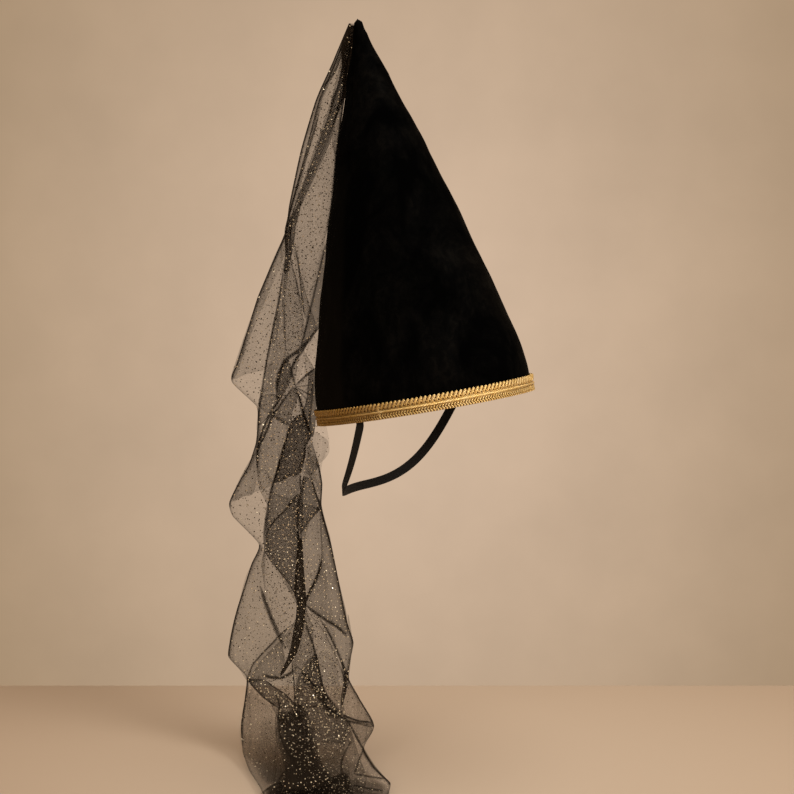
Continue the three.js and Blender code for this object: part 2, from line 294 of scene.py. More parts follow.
def makeGold():
    material, tree, shader = newMaterial("gimp_gold", {"Roughness": 0.34, "Metallic": 0.3})
    twist = groupNode(tree, twistGroup, {"Pitch": 0.0007, "Slant": 0.8})["Height"]
    wear = groupNode(tree, napGroup, {"Scale": 120.0})["Mask"]
    bright = mixColors(tree, wear, linear(255, 226, 146), linear(255, 240, 184))
    # The twist's ridges are painted lighter and its grooves darker: painted highlight and painted shade
    thread = mixColors(tree, twist, linear(240, 182, 102), bright)
    # Dulled wear and painted shade: the worn end, turned from the light, and the far side are painted darker
    wearAndPaintedLight = maths(tree, "MULTIPLY", attributeOf(tree, "wearAndPaintedLight"), 0.92)
    dulledAndShaded = mixColors(tree, wearAndPaintedLight, thread, linear(146, 104, 26))
    # The woven ground between the threads is painted dark brown: painted shade in the gaps
    shade = mixColors(tree, attributeOf(tree, "hollowShade"), dulledAndShaded, linear(132, 92, 38))
    tree.links.new(shade, shader["Base Color"])
    tree.links.new(remap(tree, wear, 0, 1, 0.26, 0.46), shader["Roughness"])
    bumpFrom(tree, shader, twist, 0.8, 0.00025)
    return material


def makeElastic():
    material, tree, shader = newMaterial("elastic_black", {"Roughness": 0.7, "Specular IOR Level": 0.3})
    twist = groupNode(tree, twistGroup, {"Pitch": 0.0008, "Slant": 0.0})["Height"]
    # The ribs' ridges are painted lighter and their grooves darker: painted highlight and painted shade
    shade = mixColors(tree, twist, (0.0012, 0.0012, 0.0014, 1), (0.0045, 0.0045, 0.005, 1))
    tree.links.new(shade, shader["Base Color"])
    bumpFrom(tree, shader, twist, 0.5, 0.0002)
    return material


def makeTulle():
    material, tree, shader = newMaterial("tulle_black", {"Roughness": 0.8, "Specular IOR Level": 0.08})
    net = groupNode(tree, netGroup, {"Cover": 0.138, "Crease Cover": 0.86, "Streaks": 0.3})
    shade = mixColors(tree, net["Mask"], (0.009, 0.006, 0.0034, 1), (0.017, 0.011, 0.0062, 1))
    tree.links.new(shade, shader["Base Color"])
    tree.links.new(net["Alpha"], shader["Alpha"])
    return material


def makeGlitter():
    material, tree, shader = newMaterial("glitter_dots", {"Roughness": 0.3, "Metallic": 0.3})
    paintedGlint = attributeOf(tree, "paintedGlint")
    # Pale where the dot has a painted glint, dark elsewhere
    tree.links.new(mixColors(tree, paintedGlint, linear(46, 36, 28), linear(255, 238, 204)), shader["Base Color"])
    tree.links.new(remap(tree, paintedGlint, 0, 1, 0.45, 0.2), shader["Roughness"])
    return material


velvetMaterial, liningMaterial, goldMaterial = makeVelvet(), makeLining(), makeGold()
elasticMaterial, tulleMaterial, glitterMaterial = makeElastic(), makeTulle(), makeGlitter()
print("materials made")

# Velvet cone: angles are in degrees from +X, and dents are depth, how often, and where the noise starts
crown = dict(
    length=0.190, width=0.162, height=0.341, lean=11.7, wall=0.002, tipFill=0.009,
    sides=224, rows=176, tipRows=14, innerRows=60, seam=165, seamWide=0.0012, seamDeep=0.0006,
    dents=((0.0005, 17, (0, 0, 0)), (0.00035, 60, (4, 1, 7))), calmRim=0.05, calmTip=0.12,
    faded=(96, 110), fadedEnd=5,
)
crownProfile = np.array([  # share of the height, share of the half-width
    (0, 1), (0.09, 0.99), (0.24, 0.86), (0.44, 0.66), (0.65, 0.435), (0.85, 0.2), (0.96, 0.067),
    (0.99, 0.038), (1, 0),
])
coneEase = 0.4  # 0.5 would pass through the profile's rows in full round curves
lean = math.radians(crown["lean"])


# Points of the cone in its own frame: angles from +X, heights along the axis, distance off the outer velvet
def conePoints(angles, heights, off):
    share = np.clip(np.asarray(heights, float) / crown["height"], 0, 1)
    place = np.interp(share, crownProfile[:, 0], np.arange(len(crownProfile)))
    wide = tableAt(crownProfile[:, 1:], np.atleast_1d(place), coneEase)[:, 0]
    halfWidth, halfLength = (
        np.maximum((crown[side] / 2 + crown["wall"]) * wide + off, 0) for side in ("width", "length")
    )
    heights = np.broadcast_to(heights, halfWidth.shape)
    return np.stack([halfWidth * np.cos(angles), halfLength * np.sin(angles), heights], -1)


def tipBack(points):
    x, y, z = points[..., 0], points[..., 1], points[..., 2]
    c, s = math.cos(lean), math.sin(lean)
    return np.stack([x, y * c + z * s, -y * s + z * c], -1)


def dentAt(place):
    return sum(
        deep * noise.noise(Vector(place) * often + Vector(start)) for deep, often, start in crown["dents"]
    )


def makeCrown():
    sides = crown["sides"]
    angles = fullTurn(sides)
    shares = np.concatenate([np.linspace(0, 0.97, crown["rows"]), np.linspace(0.972, 1, crown["tipRows"])])
    points = []
    for share in shares:
        heights = np.full(sides, share * crown["height"])
        calm = min(share / crown["calmRim"], 1) * min((1 - share) / crown["calmTip"], 1)
        ring = conePoints(angles, heights, 0.0)
        # the seam where the cone's sheet laps
        fromSeam = (angles - math.radians(crown["seam"])) * np.hypot(ring[:, 0], ring[:, 1])
        seam = crown["seamDeep"] * np.exp(-((fromSeam / crown["seamWide"]) ** 2))
        points.append(conePoints(angles, heights, (np.array([dentAt(p) for p in ring]) - seam) * calm))
    for share in np.linspace(1, 0, crown["innerRows"]):
        height = share * (crown["height"] - crown["tipFill"])
        points.append(conePoints(angles, np.full(sides, height), -crown["wall"]))
    outer = np.arange(sides)
    inner = outer + (len(points) - 1) * sides
    faces = np.concatenate([gridFaces(len(points), sides, closed=True), joinRings(inner, outer)])
    points = tipBack(np.concatenate(points))
    made = addPiece("crown_velvet", points, faces, [velvetMaterial, liningMaterial], "cone_crown")
    # the strip behind the seam is paler and browner, more so low down
    turned = np.degrees(angles)
    strip = ramp(turned, *crown["faded"]) * np.clip((crown["seam"] - turned) / crown["fadedEnd"], 0, 1)
    strip = strip[None] * np.clip(1.1 - shares * 1.5, 0, 1)[:, None]
    setValues(made, "faded", np.concatenate([strip.ravel(), np.zeros(crown["innerRows"] * sides)]))
    firstInner = len(shares) * sides
    for polygon in made.data.polygons:
        if min(polygon.vertices) >= firstInner:
            polygon.material_index = 1


makeCrown()
print("crown made")

# Gimp braid. Angles are in degrees: first where the threads lie flat, then where the gold is painted darker
# and clears again (dulled wear and painted shade on the end turned from the light), then where painted shade
# darkens it once more at the far side, and how much.
braid = dict(
    gap=0.0003, thick=0.0016, below=0.0005, height=0.015, lowerRow=0.0054, cord=0.0024, upperRow=0.0072,
    lapAngle=183, lapLength=0.011, lapRise=0.0008, knob=0.0037, stitch=0.0025, turnPitch=0.0008,
    rimSteps=2881, groundSteps=480, cordSteps=700, edgeSteps=14,
    wearAndPaintedLight=(108, 178), dullAndShade=(40, 100, 150, 240), farShade=(240, 275, 0.5),
)
cordTop = braid["lowerRow"] + braid["cord"]
rimAngles = np.linspace(0, 2 * math.pi, braid["rimSteps"])
rimRun = lengthAlong(conePoints(rimAngles, np.zeros(len(rimAngles)), crown["wall"])[:, :2])
rimLength = rimRun[-1]

# The closed woven ground under the threads: height, and how far behind the braid's face
groundSection = [
    (0.0003, 0.0013), (0.0006, 0.0009), (braid["lowerRow"], 0.0007), (cordTop, 0.0007),
    (cordTop + 0.0052, 0.0009), (cordTop + 0.0052, 0.0015), (0.0004, 0.0015),
]
# Round cords that go all the way round: height, proud, radius, sides
cords = [
    (braid["lowerRow"] + braid["cord"] / 2, 0.0004, 0.0011, 8),
    (braid["lowerRow"] - 0.0003, -0.0003, 0.0004, 6),
    (cordTop + 0.0004, -0.0003, 0.0004, 6),
]
# Short threads: pitch along the rim, points, start, lean and curl along it, height, rise and swell up the
# braid, proud, swell and its turn off the braid, radius and how much it grows, sides
threads = [
    # fat slanted loops that end in knobs, over finer threads that slant the other way
    (braid["knob"], 8, (0, 0.0021, -0.0005), (cordTop + 0.0006, braid["upperRow"] - 0.0014, 0),
        (-0.0001, 0.0006, 2.4), (0.0009, 0.00035), 7),
    (braid["knob"], 8, (0.0032, -0.0026, 0), (cordTop + 0.0006, 0.0042, 0),
        (-0.0004, 0.0005, math.pi), (0.00062, 0), 6),
    # slanted stitches that meet in a herringbone, and a beaded edge
    (braid["stitch"], 6, (0.0022, -0.0022, 0), (0.0014, 0.0016, 0),
        (-0.0001, 0.0006, math.pi), (0.00062, 0), 6),
    (braid["stitch"], 6, (0, 0.0022, 0), (0.0030, 0.0020, 0),
        (-0.0001, 0.0006, math.pi), (0.00062, 0), 6),
    (braid["stitch"], 6, (0.0011, 0.0012, 0), (0.0006, 0, 0.0004),
        (-0.0001, 0.0006, math.pi), (0.0007, 0), 6),
]


# How worn flat the braid is at each angle, 0 to 1
def wornAt(angle):
    low, high = braid["wearAndPaintedLight"]
    return ramp(np.degrees(angle), low, low + 4) * ramp(-np.degrees(angle), -high, 3 - high)


# How much darker its gold is painted there: dulled wear and painted shade, most on the worn stretch, and a
# little painted shade at the far side
def dullAndShadeAt(angle):
    def rise(low, high):
        share = ramp(np.degrees(angle), low, high)
        return share * share * (3 - 2 * share)

    start, full, end, clean = braid["dullAndShade"]
    low, high, most = braid["farShade"]
    return rise(start, full) * (1 - rise(end, clean)) + most * rise(low, high)


# Points on the braid: distance along the rim, height up the braid, distance off its flat face
def braidPoints(along, up, proud):
    along, up, proud = np.broadcast_arrays(np.asarray(along, float), up, proud)
    angle = np.interp(np.mod(along, rimLength), rimRun, rimAngles)
    fromLap = np.abs(np.degrees(angle) - braid["lapAngle"]) / 360 * rimLength
    half = braid["lapLength"] / 2
    lap = braid["lapRise"] * np.clip((half - fromLap) / (half * 0.3), 0, 1)
    off = braid["gap"] + braid["thick"] + lap + proud * (1 - 0.5 * wornAt(angle))
    point = conePoints(angle, np.maximum(up - braid["below"], 0), off)
    point[..., 2] = up - braid["below"]
    return tipBack(point)


# Adds a round thread along a path of along, up and proud. An open one is drawn in at its ends.
def addThread(store, path, radius, sides, closed=False):
    along, up, proud = path
    count = len(along)
    centre = braidPoints(along, up, proud)
    outward = unit(braidPoints(along, up, proud + 0.001) - centre)
    run = unit(np.roll(centre, -1, 0) - np.roll(centre, 1, 0) if closed else np.gradient(centre, axis=0))
    side = unit(np.cross(run, outward))
    outward = np.cross(side, run)
    thick = np.broadcast_to(radius, count)
    if not closed:
        thick = thick * np.clip(fromEnds(count) * 0.7 + 0.3, 0, 1)
    ring = fullTurn(sides)
    loops = centre[:, None] + thick[:, None, None] * (
        np.cos(ring)[None, :, None] * side[:, None] + np.sin(ring)[None, :, None] * outward[:, None]
    )
    addLoops(store, loops, lengthAlong(centre), ring * braid["turnPitch"], closed)


# Adds rings of points to the braid, with their UVs
def addLoops(store, loops, lengths, turns, closed):
    count, sides = loops.shape[:2]
    start = store["total"]
    store["points"].append(loops.reshape(-1, 3))
    store["faces"].append(gridFaces(count, sides, closed=True, start=start))
    if closed:
        first, last = start + np.arange(sides), start + (count - 1) * sides + np.arange(sides)
        store["faces"].append(joinRings(last, first))
    store["uvs"].append(np.stack(np.broadcast_arrays(lengths[:, None], turns[None]), -1).reshape(-1, 2))
    store["total"] += count * sides


def makeBraid():
    store = dict(points=[], faces=[], uvs=[], total=0)
    along = np.linspace(0, rimLength, braid["groundSteps"], endpoint=False)
    band = np.stack([braidPoints(along, up, -behind) for up, behind in groundSection], 1)
    addLoops(store, band, along, np.linspace(0, braid["height"], len(groundSection)), True)
    groundPoints = store["total"]
    ring = np.linspace(0, rimLength, braid["cordSteps"], endpoint=False)
    for up, proud, radius, sides in cords:
        addThread(store, (ring, np.full(len(ring), up), np.full(len(ring), proud)), radius, sides, True)
    for pitch, count, along, up, proud, radius, sides in threads:
        step = np.linspace(0, 1, count)
        places = along[0] + along[1] * step + along[2] * np.sin(step * math.pi * 1.5)
        heights = up[0] + up[1] * step + up[2] * np.sin(step * math.pi)
        swell = proud[0] + proud[1] * np.sin(step * proud[2])
        copies = round(rimLength / pitch)
        for k in range(copies):
            path = (k * rimLength / copies + places, heights, swell)
            addThread(store, path, radius[0] + radius[1] * step, sides)
    # the end that laps over: a turned edge across the braid
    lapEdge = np.interp(math.radians(braid["lapAngle"]), rimAngles, rimRun) + braid["lapLength"] / 2 * 0.75
    acrossBraid = np.linspace(0.0002, cordTop + 0.0056, braid["edgeSteps"])
    bulge = 0.0014 * np.sin(np.linspace(0, math.pi, braid["edgeSteps"]))
    addThread(store, (lapEdge - bulge, acrossBraid, np.full(len(bulge), 0.0002)), 0.00085, 8)
    points, faces = np.concatenate(store["points"]), np.concatenate(store["faces"])
    made = addPiece("braid_gimp", points, faces, [goldMaterial], "rim_braid")
    setUvs(made, np.concatenate(store["uvs"]))
    # Marks the woven ground for its painted shade
    setValues(made, "hollowShade", np.arange(len(points)) < groundPoints)
    # How much darker the gold is painted: dulled wear and painted shade
    setValues(made, "wearAndPaintedLight", dullAndShadeAt(np.mod(np.arctan2(points[:, 1], points[:, 0]), 2 * math.pi)))


makeBraid()
print("braid made")

# Flat elastic: angle is where it leaves the rim, in degrees from the back
strap = dict(
    width=0.008, thick=0.001, tuck=0.015, drop=0.078, back=0.072, angle=79, flare=6, sag=3.3,
    ribs=5, ribDeep=0.16, loopSteps=240, tuckSteps=14, tuckEnd=0.08, rounds=3, cadSides=48,
)


def makeStrap():
    end = math.radians(strap["angle"])
    # the solid crown's inner wall has flat sides, which come this much nearer
    dip = crown["length"] / 2 * (1 - math.cos(math.pi / strap["cadSides"]))
    off = -(crown["wall"] + dip + braid["gap"] + strap["thick"] / 2)

    def tucked(side, share):
        angle, height = np.array([math.pi / 2 + side * end]), np.array([share * strap["tuck"]])
        return tipBack(conePoints(angle, height, off))[0]

    rim = tucked(1, 0)
    s = np.linspace(-1, 1, strap["loopSteps"])
    radius = strap["back"] + (math.hypot(rim[0], rim[1]) - strap["back"]) * np.abs(s) ** strap["flare"]
    angle = math.pi / 2 + s * end
    z = -strap["drop"] + (strap["drop"] + rim[2]) * np.abs(s) ** strap["sag"]
    loop = np.stack([radius * np.cos(angle), radius * np.sin(angle), z], -1)
    shares = np.linspace(1, strap["tuckEnd"], strap["tuckSteps"])
    centre = np.concatenate([[tucked(-1, k) for k in shares], loop, [tucked(1, k) for k in shares[::-1]]])
    for _ in range(strap["rounds"]):
        centre[1:-1] = (centre[:-2] + 2 * centre[1:-1] + centre[2:]) / 4
    run = unit(np.gradient(centre, axis=0))
    outward = centre / np.array([crown["width"] ** 2, crown["length"] ** 2, math.inf])
    across = unit(np.cross(run, outward))
    through = np.cross(across, run)
    # ribbed section: the face rises over each rib
    places = np.linspace(-0.5, 0.5, strap["ribs"] * 4 + 1)
    rib = 0.5 - strap["ribDeep"] * np.abs(np.sin((places + 0.5) * strap["ribs"] * math.pi) ** 2 - 1)
    wide = np.concatenate([places, places[::-1]]) * strap["width"]
    high = np.concatenate([rib, -rib[::-1]]) * strap["thick"]
    points = centre[:, None] + across[:, None] * wide[None, :, None] + through[:, None] * high[None, :, None]
    sides = len(wide)
    ends = [list(range(sides))[::-1], [(len(centre) - 1) * sides + k for k in range(sides)]]
    faces = [*gridFaces(len(centre), sides, closed=True), *ends]
    made = addPiece("strap_elastic", points.reshape(-1, 3), faces, [elasticMaterial], "chin_strap")
    length = lengthAlong(centre)
    setUvs(made, np.stack(np.broadcast_arrays(length[:, None], wide[None]), -1).reshape(-1, 2))
    print("elastic length", round(float(length[-1]), 3))


makeStrap()

# The photo's view of the hat: lens in mm, on a square frame
view = dict(
    right=(0.53, -0.848, 0), away=(0.848, 0.53, 0), pitch=8.6, back=1.740, side=0.0244, down=0.009,
    lens=90.68, sensor=36, pixels=794,
)
right = Vector(view["right"]).normalized()
awayFlat = Vector(view["away"]).normalized()
pitch = math.radians(view["pitch"])
forward = awayFlat * math.cos(pitch) - Vector((0, 0, math.sin(pitch)))
upward = awayFlat * math.sin(pitch) + Vector((0, 0, math.cos(pitch)))
eye = -(right * view["side"] - upward * view["down"] + forward * view["back"])
photoMiddle, photoFocus = view["pixels"] / 2, view["lens"] / view["sensor"] * view["pixels"]

# Tulle veil
veil = dict(
    drop=0.671, spread=0.090, stack=0.036, off=0.030, swing=4, facing=58, tipSide=0.004, wall=0.001,
    rowSteps=12, legSteps=14, turn=0.95, foldThick=0.4, foldWide=0.006, flat=(0.36, 0.8),
    creaseWide=0.0021, creaseEdge=0.008, creaseLeast=0.12, creaseSlope=1.4,
)
foldEase, lineEase = 0.28, 0.45  # 0.5 would pass through a table's rows in full round curves
facing = math.radians(veil["facing"])
acrossAxis = np.array([math.cos(facing), -math.sin(facing), 0])
awayAxis = np.array([math.sin(facing), math.cos(facing), 0])

# The veil's folds: down, tip, out, deep, and across from back edge over six folds to front edge.
# down is a share of the drop, tip is 1 under the cone's tip, out and deep are shares of the stack,
# across is a share of the spread.
folds = [
    (0.007, 1, 0, 0.36, (0.03, -0.04, 0.04, -0.04, 0.04, -0.03, 0.03, -0.01)),
    (0.052, 0.82, 0.1, 0.42, (0.07, -0.09, 0.08, -0.07, 0.06, -0.02, 0.05, 0)),
    (0.104, 0.64, 0.1, 0.5, (0.11, -0.17, 0.11, -0.14, 0.09, -0.02, 0.1, 0.01)),
    (0.169, 0.42, 0.05, 0.58, (0.17, -0.2, 0.16, -0.15, 0.04, -0.07, 0.02, -0.05)),
    (0.241, 0.22, 0, 0.52, (0.25, -0.21, 0.22, -0.19, -0.09, -0.15, -0.11, -0.13)),
    (0.274, 0.14, 0, 0.5, (0.28, -0.2, 0.21, -0.21, -0.14, -0.2, -0.14, -0.17)),
    (0.31, 0.08, 0, 0.6, (0.31, -0.28, 0.18, -0.18, -0.11, -0.17, -0.05, -0.08)),
    (0.367, 0, 0.05, 0.8, (0.32, -0.42, 0.12, -0.21, 0.02, -0.16, 0.1, 0.01)),
    (0.404, 0, 0.08, 0.9, (0.28, -0.51, 0.06, -0.27, 0.05, -0.16, 0.18, 0.15)),
    (0.432, 0, 0.1, 1, (0.26, -0.58, 0.03, -0.31, 0.01, -0.14, 0.02, 0.09)),
    (0.46, 0, 0.1, 1, (0.24, -0.65, 0.14, -0.35, -0.02, -0.19, -0.08, 0.03)),
    (0.478, 0, 0.1, 0.95, (0.23, -0.69, 0.13, -0.36, -0.04, -0.22, -0.13, -0.03)),
    (0.51, 0, 0, 0.75, (0.21, -0.44, 0.1, -0.41, 0.03, -0.25, -0.23, -0.2)),
    (0.538, 0, -0.05, 0.75, (0.26, -0.43, 0.1, -0.14, 0.08, -0.36, -0.35, -0.12)),
    (0.564, 0, -0.05, 0.8, (0.29, -0.45, 0.13, -0.17, 0.14, -0.42, -0.41, -0.16)),
    (0.593, 0, 0, 0.92, (0.22, -0.52, 0.19, -0.23, 0.18, -0.43, -0.42, -0.22)),
    (0.619, 0, 0.03, 1, (0.19, -0.63, 0.22, -0.28, 0.03, -0.41, -0.36, -0.26)),
    (0.647, 0, 0.05, 1, (0.18, -0.73, 0.21, -0.31, 0.03, -0.32, 0.19, -0.1)),
    (0.666, 0, 0.02, 0.9, (0.2, -0.68, 0.24, -0.34, 0.03, -0.35, 0.1, -0.22)),
    (0.702, 0, 0, 0.75, (0.22, -0.43, 0.31, -0.36, 0.01, -0.34, 0.02, -0.35)),
    (0.729, 0, -0.03, 0.78, (0.24, -0.505, 0.35, -0.4, 0.02, -0.24, 0.01, -0.25)),
    (0.785, 0, -0.05, 0.7, (0.3, -0.64, 0.43, -0.34, 0.05, -0.03, 0.07, -0.01)),
    (0.812, 0, -0.03, 0.85, (0.32, -0.695, 0.47, -0.27, 0.12, -0.1, 0.23, 0)),
    (0.84, 0, 0, 1, (0.34, -0.74, 0.53, -0.16, 0.13, -0.28, 0.33, -0.03)),
    (0.863, 0, 0, 1, (0.35, -0.755, 0.5, -0.09, 0.17, -0.43, 0.4, -0.1)),
    (0.89, 0, 0, 0.85, (0.37, -0.575, 0.48, -0.06, 0.1, -0.53, 0.46, -0.17)),
    (0.918, 0, 0, 0.85, (0.4, -0.59, 0.59, -0.05, 0.3, -0.33, 0.43, -0.23)),
    (0.952, 0, -0.1, 0.8, (0.45, -0.63, 0.74, -0.03, 0.48, -0.21, 0.48, -0.21)),
    (0.974, 0, -0.45, 0.55, (0.46, -0.6, 0.64, 0, 0.55, -0.14, 0.46, -0.15)),
    (0.985, 0, -1.3, 0.45, (0.5, -0.51, 0.75, -0.1, 0.62, -0.08, 0.43, -0.08)),
    (0.986, 0, -2.4, 0.42, (0.52, -0.38, 0.91, -0.2, 0.68, -0.07, 0.45, 0)),
    (0.987, 0, -3.5, 0.38, (0.5, -0.28, 0.88, -0.15, 0.65, -0.02, 0.47, 0.1)),
]


# Rows of the net in the veil's own frame: x across its broad side, y through its folds, z up
def veilGrid():
    steps = (len(folds) - 1) * veil["rowSteps"]
    foldTable = np.array([[*row[:4], *row[4]] for row in folds], float)
    row = tableAt(foldTable, np.arange(steps + 1) / veil["rowSteps"], foldEase)
    down, tipShare, out, deep = row[:, :4].T
    across = row[:, 4:] * veil["spread"]
    stack = deep * veil["stack"]
    tip = tipBack(np.array([0, 0, crown["height"]]))
    behind = (foldTable[0, 3] * veil["stack"] + veil["wall"]) / 2 + braid["gap"]
    gathered = tip - acrossAxis * veil["tipSide"] + awayAxis * behind
    radius = crown["length"] / 2 + crown["wall"] + veil["off"]
    swing = math.radians(veil["swing"])
    hanging = np.array([-math.sin(swing) * radius, math.cos(swing) * radius, 0])
    side = hanging @ acrossAxis + (gathered - hanging) @ acrossAxis * tipShare
    back = hanging @ awayAxis + (gathered - hanging) @ awayAxis * tipShare + out * veil["stack"]
    spine = np.stack([side, back, tip[2] - down * veil["drop"]], -1)
    run = unit(np.gradient(spine, axis=0) * np.array([0, 1, 1]))
    through = np.stack([0 * run[:, 0], -run[:, 2], run[:, 1]], -1)
    legs = across.shape[1] - 1
    slope = np.gradient(across, axis=0) / np.gradient(down * veil["drop"])[:, None]
    leftmost, rightmost = across.min(1)[:, None], across.max(1)[:, None]
    q = np.arange(veil["legSteps"]) / veil["legSteps"]
    wave = np.sin(2 * math.pi * q) / (2 * math.pi) * veil["turn"]

    # how sharp the fold k is along x: most on the net's outer edges
    def creaseAt(k, x):
        fold = across[:, k : k + 1]
        turned = (-1 if k % 2 else 1) * slope[:, k : k + 1] * veil["creaseSlope"]
        kept = np.clip(0.5 + turned, veil["creaseLeast"], 1)
        inwards = np.minimum(fold - leftmost, rightmost - fold)
        outer = np.clip(1.15 - inwards / veil["creaseEdge"], veil["creaseLeast"], 1)
        kept = np.clip(kept * 2.4, 0, 1) * outer
        return kept * np.clip(1.6 * (1 - np.abs(x - fold) / veil["creaseWide"]), 0, 1)

    placed, depth, crease, leg, thick = [], [], [], [], []
    for i in range(legs):
        start, end = across[:, i : i + 1], across[:, i + 1 : i + 2]
        x = start + (end - start) * (q - wave)[None]
        fromFold = np.minimum(np.abs(x - start), np.abs(x - end))
        placed.append(x)
        depth.append(np.broadcast_to(0.5 - (i + q + wave)[None] / legs, x.shape))
        crease.append(np.max([np.zeros_like(x)] + [creaseAt(k, x) for k in (i, i + 1) if 0 < k < legs], 0))
        thick.append(1 + veil["foldThick"] * np.exp(-fromFold / veil["foldWide"]))
        leg.append(np.broadcast_to(i + q[None], x.shape))
    # the front edge, after the last leg
    for values, last in ((depth, -0.5), (crease, 0.0), (thick, 1.0), (leg, float(legs))):
        values.append(np.full((len(across), 1), last))
    placed.append(across[:, -1:])
    placed, depth, crease, leg, thick = (np.concatenate(v, 1) for v in (placed, depth, crease, leg, thick))
    points = spine[:, None] + through[:, None] * (depth * stack[:, None])[..., None]
    points[..., 0] += placed
    return dict(points=points, crease=crease, leg=leg, thick=thick, spine=spine, through=through, stack=stack)


def veilToWorld(points):
    return points[..., :1] * acrossAxis + points[..., 1:2] * awayAxis + points[..., 2:] * np.array([0, 0, 1])
